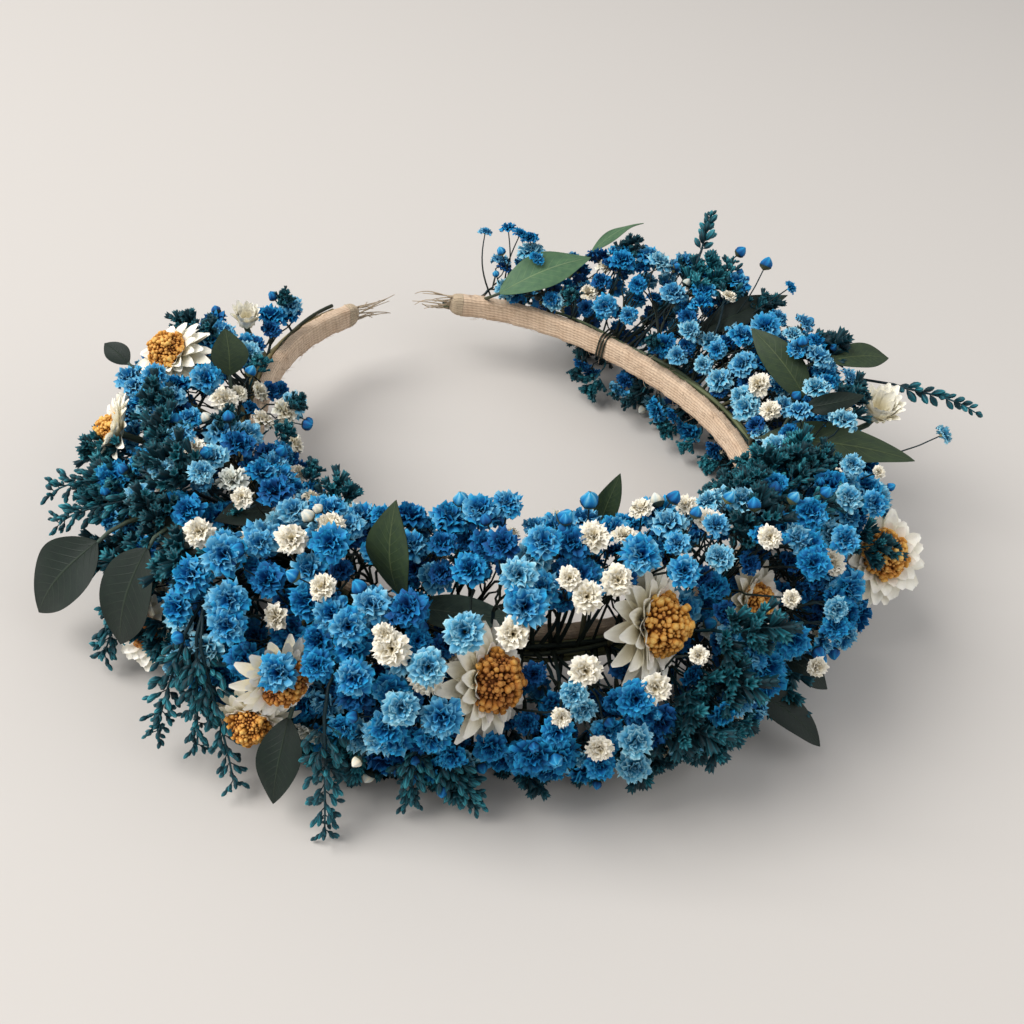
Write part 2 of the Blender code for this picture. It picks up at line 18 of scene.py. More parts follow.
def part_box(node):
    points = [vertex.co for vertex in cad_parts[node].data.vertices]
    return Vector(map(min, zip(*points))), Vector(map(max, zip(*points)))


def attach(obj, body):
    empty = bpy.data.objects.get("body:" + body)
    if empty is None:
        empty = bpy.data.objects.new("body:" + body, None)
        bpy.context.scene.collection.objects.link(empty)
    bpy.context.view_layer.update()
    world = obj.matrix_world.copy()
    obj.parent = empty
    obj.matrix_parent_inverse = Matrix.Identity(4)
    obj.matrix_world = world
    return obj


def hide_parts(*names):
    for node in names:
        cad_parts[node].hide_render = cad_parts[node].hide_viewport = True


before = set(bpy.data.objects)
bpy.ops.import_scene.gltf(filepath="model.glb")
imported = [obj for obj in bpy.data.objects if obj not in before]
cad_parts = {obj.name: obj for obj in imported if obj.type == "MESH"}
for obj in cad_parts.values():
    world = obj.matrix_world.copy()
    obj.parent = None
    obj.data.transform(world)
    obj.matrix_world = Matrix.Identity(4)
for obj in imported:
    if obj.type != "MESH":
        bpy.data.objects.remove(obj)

Colour = tuple[float, float, float]
Triple = tuple[float, float, float]
Array = np.ndarray

PLACES = "OFBake"
MM = 0.001
# The lowest place of any surface, just over the table
REST_HEIGHT = 0.3 * MM
report = logging.getLogger("flower_crown")


# ---------------------------------------------------------------- small maths


def tint(red: float, green: float, blue: float) -> Colour:
    """Gives the light-linear colour of a 0 to 255 screen colour.

    Args:
        red: the screen colour's red.
        green: its green.
        blue: its blue.

    Returns:
        The linear colour.
    """
    parts = [v / 255 for v in (red, green, blue)]
    return tuple(v / 12.92 if v <= 0.04045 else ((v + 0.055) / 1.055) ** 2.4 for v in parts)


def unit(vectors: Array) -> Array:
    """Returns the vectors at length 1."""
    return vectors / np.maximum(np.linalg.norm(vectors, axis=-1, keepdims=True), 1e-12)


def turned_frames(ways: Array, spins: Array) -> Array:
    """Makes a rotation for each direction, whose third column is that direction.

    Args:
        ways: unit directions, (n, 3).
        spins: the turn about each direction, in radians.

    Returns:
        Rotation matrices, (n, 3, 3).
    """
    helper = np.where(np.abs(ways[:, 2:3]) < 0.9, [[0.0, 0.0, 1.0]], [[1.0, 0.0, 0.0]])
    first = unit(np.cross(helper, ways))
    second = np.cross(ways, first)
    cos, sin = np.cos(spins)[:, None], np.sin(spins)[:, None]
    return np.stack([first * cos + second * sin, second * cos - first * sin, ways], axis=2)


def bend(start: Array, end: Array, leave: Array, arrive: Array, steps: int, pull: float = 0.4) -> Array:
    """Draws a smooth path between two points.

    Args:
        start: where the path starts.
        end: where it ends.
        leave: unit direction at the start.
        arrive: unit direction at the end.
        steps: how many stretches it has.
        pull: how strongly it keeps to the two directions.

    Returns:
        Its points, (steps + 1, 3).
    """
    reach = np.linalg.norm(end - start) * pull
    t = np.linspace(0, 1, steps + 1)[:, None]
    u = 1 - t
    first, second = start + leave * reach, end - arrive * reach
    return start * u**3 + first * (3 * u * u * t) + second * (3 * u * t * t) + end * t**3


# ---------------------------------------------------------------- shader nodes


class Signal:
    """A value in a shader that Python's operators work on."""

    def __init__(self, sheet: "NodeSheet", socket: bpy.types.NodeSocket) -> None:
        """Keeps the socket and the sheet that its maths nodes go on."""
        self.sheet = sheet
        self.socket = socket

    def maths(self, operation: str, other: "Signal | float" = 0.0, swapped: bool = False) -> "Signal":
        """Adds one Math node.

        Args:
            operation: the node's operation.
            other: the second value.
            swapped: True where the other value comes first.

        Returns:
            The node's result.
        """
        pair = (other, self) if swapped else (self, other)
        node = self.sheet.add("ShaderNodeMath", {"operation": operation}, {0: pair[0], 1: pair[1]})
        return Signal(self.sheet, node.outputs[0])

    def __add__(self, other: "Signal | float") -> "Signal":
        """Adds."""
        return self.maths("ADD", other)

    __radd__ = __add__

    def __mul__(self, other: "Signal | float") -> "Signal":
        """Multiplies."""
        return self.maths("MULTIPLY", other)

    __rmul__ = __mul__

    def __sub__(self, other: "Signal | float") -> "Signal":
        """Takes the other value away."""
        return self.maths("SUBTRACT", other)

    def __rsub__(self, other: "Signal | float") -> "Signal":
        """Takes this value away from the other."""
        return self.maths("SUBTRACT", other, swapped=True)

    def size(self) -> "Signal":
        """Returns the value without its sign."""
        return self.maths("ABSOLUTE")

    def part(self) -> "Signal":
        """Returns what follows the decimal point."""
        return self.maths("FRACT")

    def held(self) -> "Signal":
        """Keeps the value between 0 and 1."""
        return self.maths("MAXIMUM", 0.0).maths("MINIMUM", 1.0)


class NodeSheet:
    """The nodes of one material."""

    def __init__(self, name: str) -> None:
        """Starts a material that holds one Principled shader."""
        self.material = bpy.data.materials.new(name)
        self.material.use_nodes = True
        self.tree = self.material.node_tree
        self.shader = self.tree.nodes["Principled BSDF"]

    def add(
        self,
        kind: str,
        settings: dict[str, object] | None = None,
        sockets: dict[str | int, object] | None = None,
    ) -> bpy.types.Node:
        """Adds a node.

        Args:
            kind: the node's type.
            settings: its own settings, set first; stops are a colour ramp's.
            sockets: values or links of its inputs.

        Returns:
            The node.
        """
        node = self.tree.nodes.new(kind)
        for name, value in (settings or {}).items():
            if name == "stops":
                self.set_stops(node.color_ramp, value)
            else:
                setattr(node, name, value)
        self.plug(node, sockets or {})
        return node

    def plug(self, node: bpy.types.Node, sockets: dict[str | int, object]) -> None:
        """Sets or links a node's inputs.

        Args:
            node: the node.
            sockets: a value, a signal or a socket for each input.
        """
        for name, value in sockets.items():
            if isinstance(value, Signal):
                self.tree.links.new(value.socket, node.inputs[name])
            elif isinstance(value, bpy.types.NodeSocket):
                self.tree.links.new(value, node.inputs[name])
            else:
                node.inputs[name].default_value = value

    @staticmethod
    def set_stops(ramp: bpy.types.ColorRamp, stops: Sequence[tuple[float, Colour]]) -> None:
        """Gives a colour ramp its stops.

        Args:
            ramp: the ramp.
            stops: places from 0 to 1 with their colours.
        """
        while len(ramp.elements) < len(stops):
            ramp.elements.new(1.0)
        for element, (place, colour) in zip(ramp.elements, stops):
            element.position = place
            element.color = (*colour, 1)

    def place(self) -> tuple[Signal, Signal]:
        """Returns the place along and across a surface, both from 0 to 1."""
        source = self.add("ShaderNodeUVMap", {"uv_map": PLACES})
        split = self.add("ShaderNodeSeparateXYZ", None, {0: source.outputs[0]})
        return Signal(self, split.outputs[0]), Signal(self, split.outputs[1])

    def ramp(self, value: Signal, stops: Sequence[tuple[float, Colour]]) -> bpy.types.NodeSocket:
        """Turns a value into a colour.

        Args:
            value: from 0 to 1.
            stops: places with their colours.

        Returns:
            The colour's socket.
        """
        return self.add("ShaderNodeValToRGB", {"stops": stops}, {0: value}).outputs[0]

    def blend(self, share: Signal, first: object, second: object) -> bpy.types.NodeSocket:
        """Mixes two colours.

        Args:
            share: how much of the second colour.
            first: a colour or its socket.
            second: a colour or its socket.

        Returns:
            The mixed colour's socket.
        """
        parts = [(*c, 1) if isinstance(c, tuple) else c for c in (first, second)]
        sockets = {0: share, 6: parts[0], 7: parts[1]}
        return self.add("ShaderNodeMix", {"data_type": "RGBA"}, sockets).outputs[2]

    def point(self, x: Signal | float, y: Signal | float, z: Signal | float = 0.0) -> bpy.types.NodeSocket:
        """Joins three values into a vector."""
        return self.add("ShaderNodeCombineXYZ", None, {0: x, 1: y, 2: z}).outputs[0]

    def noise(self, where: bpy.types.NodeSocket, scale: float, detail: float = 2.0) -> Signal:
        """Returns smooth noise.

        Args:
            where: the vector that it is read at.
            scale: how fine it is.
            detail: how many finer layers it has.

        Returns:
            A value from 0 to 1.
        """
        sockets = {"Vector": where, "Scale": scale, "Detail": detail}
        return Signal(self, self.add("ShaderNodeTexNoise", None, sockets).outputs[0])

    def raise_surface(self, height: Signal, strength: float, distance: float) -> None:
        """Lets a height lift the surface in the light.

        Args:
            height: from 0 to 1.
            strength: how strongly.
            distance: the height of 1, in metres.
        """
        sockets = {"Height": height, "Strength": strength, "Distance": distance}
        bump = self.add("ShaderNodeBump", None, sockets)
        self.tree.links.new(bump.outputs[0], self.shader.inputs["Normal"])


# ---------------------------------------------------------------- finishes


@dataclass(frozen=True)
class DriedFinish:
    """A dyed or dried surface: its colour runs from base to tip and changes with its tone.

    Attributes:
        name: the finish's name.
        shelf: the range of the map that its tones are laid on.
        deep: colours at the base, middle and tip at tone 0.
        middle: the same at tone 0.5.
        pale: the same at tone 1.
        roughness: how matte it is.
        streaks: how strong its lengthwise streaks are.
        sheen: the soft edge light of its fine hairs.
    """

    name: str
    shelf: tuple[float, float]
    deep: tuple[Colour, Colour, Colour]
    middle: tuple[Colour, Colour, Colour]
    pale: tuple[Colour, Colour, Colour]
    roughness: float = 0.75
    streaks: float = 0.35
    sheen: float = 0.0

    def material(self) -> bpy.types.Material:
        """Builds the finish's material."""
        sheet = NodeSheet(self.name)
        along, level = sheet.place()
        low, high = self.shelf
        tone = ((level - low) * (1 / (high - low))).held()
        layers = [
            sheet.ramp(along, [(0.04, base), (0.55, mid), (0.96, tip)])
            for base, mid, tip in (self.deep, self.middle, self.pale)
        ]
        lower = sheet.blend((tone * 2).held(), layers[0], layers[1])
        whole = sheet.blend((tone * 2 - 1).held(), lower, layers[2])
        grain = sheet.noise(sheet.point(along * 3, tone * 90), 4.0)
        shade = (grain - 0.5) * (2 * self.streaks) + 1
        colour = sheet.add("ShaderNodeVectorMath", {"operation": "SCALE"}, {0: whole, 3: shade})
        rough = (grain - 0.5) * 0.3 + self.roughness
        sockets = {"Base Color": colour.outputs[0], "Roughness": rough, "Specular IOR Level": 0.3}
        if self.sheen:
            sockets["Sheen Weight"] = self.sheen
            sockets["Sheen Roughness"] = 0.4
        sheet.plug(sheet.shader, sockets)
        sheet.raise_surface(grain, 0.25, 0.0004)
        return sheet.material


@dataclass(frozen=True)
class LeafFinish:
    """A preserved leaf: matte, with a pale midrib, side veins and faint blotches.

    Attributes:
        name: the finish's name.
        blade: the blade's colour.
        edge: its colour near the edge and in the blotches.
        rib: the midrib's colour.
        vein_count: side veins along the blade.
    """

    name: str
    blade: Colour
    edge: Colour
    rib: Colour
    vein_count: float = 11.0

    def material(self) -> bpy.types.Material:
        """Builds the finish's material."""
        sheet = NodeSheet(self.name)
        along, across = sheet.place()
        side = (across * 4).part() * 2 - 1
        away = side.size()
        rib = (1 - away * (1 / 0.05)).held()
        slant = (along * self.vein_count - away * 2.4).part() * 2 - 1
        vein = (1 - slant.size() * (1 / 0.16)).held() * (1 - away).held()
        blotch = sheet.noise(sheet.point(along * 5, across * 9), 3.0, 5.0)
        fine = sheet.noise(sheet.point(along * 60, across * 90), 3.0, 3.0)
        base = sheet.blend((blotch * 2.2 - 0.7).held(), self.blade, self.edge)
        veined = sheet.blend(vein * 0.28, base, self.rib)
        colour = sheet.blend(rib * 0.6, veined, self.rib)
        sockets = {
            "Base Color": colour,
            "Roughness": (fine - 0.5) * 0.25 + 0.56,
            "Specular IOR Level": 0.32,
        }
        sheet.plug(sheet.shader, sockets)
        sheet.raise_surface(rib + vein * 0.5 + fine * 0.25, 0.5, 0.00025)
        return sheet.material


@dataclass(frozen=True)
class JuteFinish:
    """The natural jute ribbon wound round the band.

    Attributes:
        name: the finish's name.
        light: the colour of the raised yarns, which carries painted light.
        dark: the colour between them, which is painted shade.
        yarns: how many yarns lie side by side round the band.
    """

    name: str
    light: Colour
    dark: Colour
    yarns: float = 26.0

    def material(self) -> bpy.types.Material:
        """Builds the finish's material."""
        sheet = NodeSheet(self.name)
        along, around = sheet.place()
        wander = sheet.noise(sheet.point(along * 60, around * 2), 3.0)
        yarn = ((around + (wander - 0.5) * 0.03) * self.yarns).part() * 2 - 1
        ridge = 1 - yarn * yarn
        cross = ((along * 300 + around * 3).part() * 2 - 1).size()
        fibre = sheet.noise(sheet.point(along * 260, around * 34), 4.0, 4.0)
        patch = sheet.noise(sheet.point(along * 40, around * 2), 2.0, 3.0)
        height = (ridge * 0.5 + cross * 0.2 + fibre * 0.6).held()
        # The colour follows the same height as the bump: painted shade between the yarns and painted light on
        # their ridges; the patches are the jute's own uneven colour.
        colour = sheet.blend((height * 0.9 + (patch - 0.5) * 0.9).held(), self.dark, self.light)
        sockets = {
            "Base Color": colour,
            "Roughness": fibre * 0.2 + 0.75,
            "Specular IOR Level": 0.2,
            "Sheen Weight": 0.15,
        }
        sheet.plug(sheet.shader, sockets)
        sheet.raise_surface(height, 0.8, 0.0004)
        return sheet.material


@dataclass(frozen=True)
class MetalFinish:
    """Wire or spring steel with fine drawing marks.

    Attributes:
        name: the finish's name.
        bright: the metal's colour.
        dull: the colour where it has dulled.
        roughness: how matte it is.
    """

    name: str
    bright: Colour
    dull: Colour
    roughness: float

    def material(self) -> bpy.types.Material:
        """Builds the finish's material."""
        sheet = NodeSheet(self.name)
        where = sheet.add("ShaderNodeTexCoord").outputs["Object"]
        marks = sheet.noise(where, 900.0, 4.0)
        sockets = {
            "Base Color": sheet.blend(marks, self.bright, self.dull),
            "Metallic": 1.0,
            "Roughness": (marks - 0.5) * 0.3 + self.roughness,
        }
        sheet.plug(sheet.shader, sockets)
        return sheet.material


class Kind(Enum):
    """What a face of the dried material is made of."""

    STEM = 0
    BLUE = 1
    IVORY = 2
    TEAL = 3
    BRACT = 4
    DOME = 5
    LEAF = 6
    JUTE = 7
    METAL = 8


DRIED: dict[Kind, DriedFinish] = {
    Kind.STEM: DriedFinish(
        "dry_stem",
        (0.01, 0.12),
        (tint(16, 28, 26), tint(20, 34, 32), tint(18, 38, 44)),
        (tint(44, 50, 36), tint(38, 48, 40), tint(24, 52, 62)),
        (tint(164, 150, 108), tint(124, 128, 88), tint(100, 114, 84)),
        0.6,
    ),
    Kind.BLUE: DriedFinish(
        "blue_petal",
        (0.40, 0.99),
        (tint(1, 23, 58), tint(2, 56, 112), tint(8, 94, 160)),
        (tint(2, 54, 112), tint(8, 114, 180), tint(34, 164, 212)),
        (tint(22, 108, 154), tint(84, 178, 210), tint(178, 222, 232)),
        0.7,
        0.30,
    ),
    Kind.IVORY: DriedFinish(
        "ivory_petal",
        (0.14, 0.24),
        (tint(120, 140, 138), tint(184, 198, 196), tint(214, 224, 224)),
        (tint(186, 172, 134), tint(236, 226, 200), tint(248, 242, 226)),
        (tint(214, 202, 168), tint(246, 240, 224), tint(253, 250, 242)),
        0.75,
        0.12,
    ),
    Kind.TEAL: DriedFinish(
        "teal_calyx",
        (0.26, 0.38),
        (tint(3, 18, 24), tint(5, 34, 42), tint(10, 54, 64)),
        (tint(4, 32, 40), tint(10, 68, 80), tint(24, 112, 126)),
        (tint(10, 66, 80), tint(34, 138, 154), tint(92, 188, 198)),
        0.5,
        0.40,
    ),
    Kind.BRACT: DriedFinish(
        "papery_bract",
        (0.14, 0.60),
        (tint(206, 190, 146), tint(240, 232, 206), tint(246, 240, 222)),
        (tint(228, 216, 178), tint(252, 247, 230), tint(254, 250, 240)),
        (tint(240, 230, 196), tint(254, 251, 240), tint(255, 253, 247)),
        0.5,
        0.08,
    ),
    Kind.DOME: DriedFinish(
        "daisy_dome",
        (0.64, 0.99),
        (tint(96, 50, 24), tint(146, 86, 42), tint(184, 118, 62)),
        (tint(132, 74, 26), tint(200, 132, 54), tint(228, 170, 90)),
        (tint(164, 98, 30), tint(226, 166, 74), tint(246, 204, 120)),
        0.8,
        0.30,
    ),
}


class Paintbox:
    """Makes each material once and hands it out by name."""

    def __init__(self) -> None:
        """Starts empty."""
        self.made: dict[str, bpy.types.Material] = {}

    def get(self, finish: DriedFinish | LeafFinish | JuteFinish | MetalFinish) -> bpy.types.Material:
        """Returns the finish's material, made at its first use."""
        if finish.name not in self.made:
            self.made[finish.name] = finish.material()
        return self.made[finish.name]


PAINTS = Paintbox()


# ---------------------------------------------------------------- shapes


@dataclass
class Shape:
    """A surface with a place on its finish for each point.

    Attributes:
        points: (n, 3).
        faces: (m, 4) point numbers.
        places: (n, 2), from base to tip and tone.
        kinds: (m,) what each face is made of.
    """

    points: Array
    faces: Array
    places: Array
    kinds: Array

    @staticmethod
    def joined(shapes: Sequence["Shape"]) -> "Shape":
        """Joins shapes into one.

        Args:
            shapes: at least one shape.

        Returns:
            The joined shape.
        """
        starts = np.cumsum([0] + [len(s.points) for s in shapes[:-1]])
        faces = [s.faces + at for s, at in zip(shapes, starts)]
        return Shape(
            np.concatenate([s.points for s in shapes]),
            np.concatenate(faces),
            np.concatenate([s.places for s in shapes]),
            np.concatenate([s.kinds for s in shapes]),
        )

    def copies(self, turns: Array, spots: Array, tones: Array) -> "Shape":
        """Repeats the shape.

        Args:
            turns: the rotation and size of each copy, (k, 3, 3).
            spots: where each copy's origin goes, (k, 3).
            tones: what each copy adds to the tone, (k,).

        Returns:
            All copies as one shape.
        """
        count = len(spots)
        points = np.einsum("kij,nj->kni", turns, self.points) + spots[:, None]
        places = np.repeat(self.places[None], count, axis=0)
        places[..., 1] += tones[:, None]
        starts = (np.arange(count) * len(self.points))[:, None, None]
        faces = self.faces[None] + starts
        return Shape(
            points.reshape(-1, 3), faces.reshape(-1, 4), places.reshape(-1, 2), np.tile(self.kinds, count)
        )


def sheets(grid: Array, kind: Kind, tones: Array, spread: float = 0.06, round_it: bool = False) -> Shape:
    """Makes surfaces from grids of points.

    Args:
        grid: (count, rows, columns, 3), the rows running from base to tip.
        kind: what they are made of.
        tones: (count,) the tone of each.
        spread: how much the tone changes from the first column to the last.
        round_it: True where the last column meets the first.

    Returns:
        All of them as one shape.
    """
    count, rows, columns, _ = grid.shape
    numbers = np.arange(count * rows * columns).reshape(count, rows, columns)
    nearer = numbers if round_it else numbers[:, :, :-1]
    further = np.roll(numbers, -1, axis=2) if round_it else numbers[:, :, 1:]
    faces = np.stack([nearer[:, :-1], further[:, :-1], further[:, 1:], nearer[:, 1:]], axis=-1)
    along = np.linspace(0.01, 0.99, rows)[None, :, None]
    across = np.linspace(-0.5, 0.5, columns)[None, None] * spread
    places = np.stack(np.broadcast_arrays(along, tones[:, None, None] + across), axis=-1)
    flat = faces.reshape(-1, 4)
    return Shape(grid.reshape(-1, 3), flat, places.reshape(-1, 2), np.full(len(flat), kind.value))


def rods(paths: Array, radii: Array, kind: Kind, tones: Array, sides: int = 4) -> Shape:
    """Makes round rods along paths.

    Args:
        paths: (count, steps, 3).
        radii: (count, steps).
        kind: what they are made of.
        tones: (count,) the tone of each.
        sides: how many sides a rod has.

    Returns:
        All rods as one shape.
    """
    runs = unit(np.gradient(paths, axis=1))
    whole = unit(paths[:, -1] - paths[:, 0])
    helper = np.where(np.abs(whole[:, 2:3]) < 0.8, [[0.0, 0.0, 1.0]], [[1.0, 0.0, 0.0]])
    first = unit(np.cross(runs, helper[:, None]))
    second = np.cross(runs, first)
    turns = np.arange(sides) * (math.tau / sides)
    ring = first[:, :, None] * np.cos(turns)[:, None] + second[:, :, None] * np.sin(turns)[:, None]
    return sheets(paths[:, :, None] + ring * radii[:, :, None, None], kind, tones, 0.12, True)


def rod(path: Array, thick: float, thin: float, kind: Kind, tone: float, sides: int = 5) -> Shape:
    """Makes one round rod, as rods does, whose radius runs evenly from thick to thin."""
    return rods(path[None], np.linspace(thick, thin, len(path))[None], kind, np.array([tone]), sides)


def round_axis(reach: Array, aside: Array, height: Array, yaw: Array) -> Array:
    """Sets petals round an axis.

    Args:
        reach: each point's distance from the axis, along its petal.
        aside: its distance from the petal's midline.
        height: its height along the axis.
        yaw: each petal's turn about the axis.

    Returns:
        The grid of points, (petals, rows, columns, 3).
    """
    cos, sin = np.cos(yaw)[:, None, None], np.sin(yaw)[:, None, None]
    return np.stack([reach * cos - aside * sin, reach * sin + aside * cos, height], axis=-1)


class Workshop:
    """Turns shapes into the pieces of the crown."""

    def __init__(self) -> None:
        """Starts with nothing made."""
        self.pieces: list[bpy.types.Object] = []

    def make(
        self,
        name: str,
        shape: Shape,
        finishes: dict[Kind, object],
        nodes: Sequence[str] = (),
        slot: str | None = None,
    ) -> None:
        """Makes one piece, and lets it ride on the crown.

        Args:
            name: the piece's name.
            shape: its surface.
            finishes: the finish of each kind that it has.
            nodes: the plain solids that it stands for.
            slot: the name of a material slot; not used.
        """
        points = shape.points.copy()
        points[:, 2] = np.maximum(points[:, 2], REST_HEIGHT)
        mesh = bpy.data.meshes.new(name)
        count = len(shape.faces)
        corners = shape.faces.ravel()
        mesh.vertices.add(len(points))
        mesh.vertices.foreach_set("co", points.astype(np.float32).ravel())
        mesh.loops.add(len(corners))
        mesh.loops.foreach_set("vertex_index", corners.astype(np.int32))
        mesh.polygons.add(count)
        mesh.polygons.foreach_set("loop_start", np.arange(0, len(corners), 4, dtype=np.int32))
        kinds = [k for k in Kind if (shape.kinds == k.value).any()]
        order = {k.value: i for i, k in enumerate(kinds)}
        slots = np.array([order.get(v, 0) for v in range(len(Kind))])
        mesh.polygons.foreach_set("material_index", slots[shape.kinds].astype(np.int32))
        mesh.polygons.foreach_set("use_smooth", np.ones(count, bool))
        shelves = np.zeros((len(Kind), 2))
        for kind in kinds:
            shelves[kind.value] = getattr(finishes[kind], "shelf", (0.0, 1.0))
            mesh.materials.append(PAINTS.get(finishes[kind]))
        low, high = shelves[np.repeat(shape.kinds, 4)].T
        places = shape.places[corners]
        tone = np.clip(places[:, 1], 0.005, 0.995)
        layer = mesh.uv_layers.new(name=PLACES)
        layer.uv.foreach_set("vector", np.stack([places[:, 0], low + (high - low) * tone], 1).ravel())
        mesh.update()
        mesh.validate()
        piece = bpy.data.objects.new(name, mesh)
        bpy.context.collection.objects.link(piece)
        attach(piece, "root")
        if nodes:
            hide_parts(*nodes)
        self.pieces.append(piece)
        report.info("%s: %d faces", name, count)


# ---------------------------------------------------------------- the band's curve


@dataclass(frozen=True)
class Crown:
    """The band's curve and the garland's cross-sections round it.

    Attributes:
        radius: the band's mean radius.
        oval: how much longer it is than wide.
        egg: how much its front is flattened.
        level: the height of the band's middle.
        band_ends: the angles of its tips.
        band_size: the band's thickness and width.
        out: the garland's reach outwards at the front.
        up: its reach upwards there.
        sections: angle, centre outwards, half depth (of out), half height (of up).
        foot: the distance from the band's middle where bunches start.
        stem_out: how far outside the band's middle the stems run.
    """

    radius: float = 0.070
    oval: float = 0.05
    egg: float = 0.03
    level: float = 0.022
    band_ends: tuple[float, float] = (-168.0, 162.0)
    band_size: tuple[float, float] = (0.0034, 0.0066)
    out: float = 0.030
    up: float = 0.033
    foot: float = 0.0082
    stem_out: float = 0.0038
    sections: tuple[tuple[float, float, float, float], ...] = (
        (-155.0, 0.25, 0.25, 0.30),
        (-140.0, 0.40, 0.48, 0.42),
        (-122.0, 0.58, 0.70, 0.64),
        (-95.0, 0.62, 0.76, 0.70),
        (-65.0, 0.64, 0.86, 0.80),
        (-48.0, 0.50, 0.92, 0.93),
        (-30.0, 0.40, 0.94, 1.00),
        (10.0, 0.40, 0.84, 0.95),
        (50.0, 0.47, 0.68, 0.84),
        (90.0, 0.66, 0.68, 0.83),
        (125.0, 0.60, 0.58, 0.78),
        (146.0, 0.42, 0.40, 0.62),
        (162.0, 0.25, 0.22, 0.32),
    )

    def plain(self, angle: Array, out: Array, up: Array) -> Array:
        """Gives points round the band's own middle.

        Args:
            angle: angles along the band.
            out: distances outside its middle line.
            up: heights.

        Returns:
            The points.
        """
        turn = np.radians(angle)
        reach = self.radius * (1 + self.oval * np.cos(2 * turn) - self.egg * np.cos(3 * turn)) + out
        return np.stack(np.broadcast_arrays(reach * np.sin(turn), -reach * np.cos(turn), up), axis=-1)

    def shift(self) -> Array:
        """Returns the way from the band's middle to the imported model's origin."""
        half = self.band_size[0] / 2
        rim = self.plain(np.linspace(*self.band_ends, 56)[:, None], np.array([-half, half]), self.level)
        low, high = rim.reshape(-1, 3).min(axis=0), rim.reshape(-1, 3).max(axis=0)
        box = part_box("band_wrap")
        middle = (np.array(box[0]) + np.array(box[1])) / 2
        return middle - (low + high) / 2

    def at(self, angle: Array | float, out: Array | float, up: Array | float) -> Array:
        """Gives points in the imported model's frame, as plain does round the band's middle."""
        return self.plain(np.asarray(angle, float), np.asarray(out, float), np.asarray(up, float)) + SHIFT

    def sides(self, angle: Array | float) -> tuple[Array, Array]:
        """Gives the directions along the band and outwards.

        Args:
            angle: angles along the band.

        Returns:
            Both unit directions.
        """
        turn = np.radians(np.asarray(angle, float))
        zero = np.zeros_like(turn)
        along = np.stack([np.cos(turn), np.sin(turn), zero], axis=-1)
        outwards = np.stack([np.sin(turn), -np.cos(turn), zero], axis=-1)
        return along, outwards

    def facing(self, angle: float, way: Triple) -> Array:
        """Gives the unit direction of an (along, outwards, up) way at an angle."""
        along, outwards = self.sides(angle)
        return unit(along * way[0] + outwards * way[1] + np.array([0, 0, way[2]]))

    def placed(self, spot: Triple) -> Array:
        """Gives the point of a spot whose last two values are parts of the garland's size."""
        return self.at(spot[0], spot[1] * self.out, spot[2] * self.up)

    def surface(self, angle: Array, tilt: Array) -> tuple[Array, Array]:
        """Finds the garland's surface in a direction from the band.

        Args:
            angle: angles along the band.
            tilt: directions in the cross-section.

        Returns:
            The reach from the band's middle, and the unit direction that the surface faces.
        """
        table = np.array(self.sections)
        out, deep, tall = (np.interp(angle, table[:, 0], table[:, i]) for i in (1, 2, 3))
        out, deep, tall = out * self.out, deep * self.out, tall * self.up
        up = np.maximum(tall, self.level)
        side, rise = np.cos(np.radians(tilt)), np.sin(np.radians(tilt))
        x0, z0 = -out / deep, (self.level - up) / tall
        dx, dz = side / deep, rise / tall
        a, b, c = dx * dx + dz * dz, 2 * (x0 * dx + z0 * dz), x0 * x0 + z0 * z0 - 1
        inside = np.maximum(b * b - 4 * a * c, 0)
        far = np.maximum((np.sqrt(inside) - b) / (2 * a), self.foot + 0.007)
        _, outwards = self.sides(angle)
        slope_out, slope_up = (x0 + far * dx) / deep, (z0 + far * dz) / tall
        normal = outwards * slope_out[..., None]
        normal[..., 2] = slope_up
        return far, unit(normal)

    def stem_place(self, angle: Array | float) -> Array:
        """Gives the point at an angle where stems leave the bundle."""
        return self.at(angle, self.stem_out, self.level)

    def inside(self, angle: Array, tilt: Array, reach: Array) -> Array:
        """Gives the point at a distance from the band's middle in the direction of a tilt."""
        side, rise = np.cos(np.radians(tilt)), np.sin(np.radians(tilt))
        return self.at(angle, reach * side, self.level + reach * rise)


CROWN = Crown()
SHIFT = CROWN.shift()


# ---------------------------------------------------------------- flower parts


@dataclass(frozen=True)
class PetalRow:
    """One ring of petals, sized in flower radii; leans are degrees over the flower's own base."""

    count: int
    length: float
    width: float
    start: float
    end: float


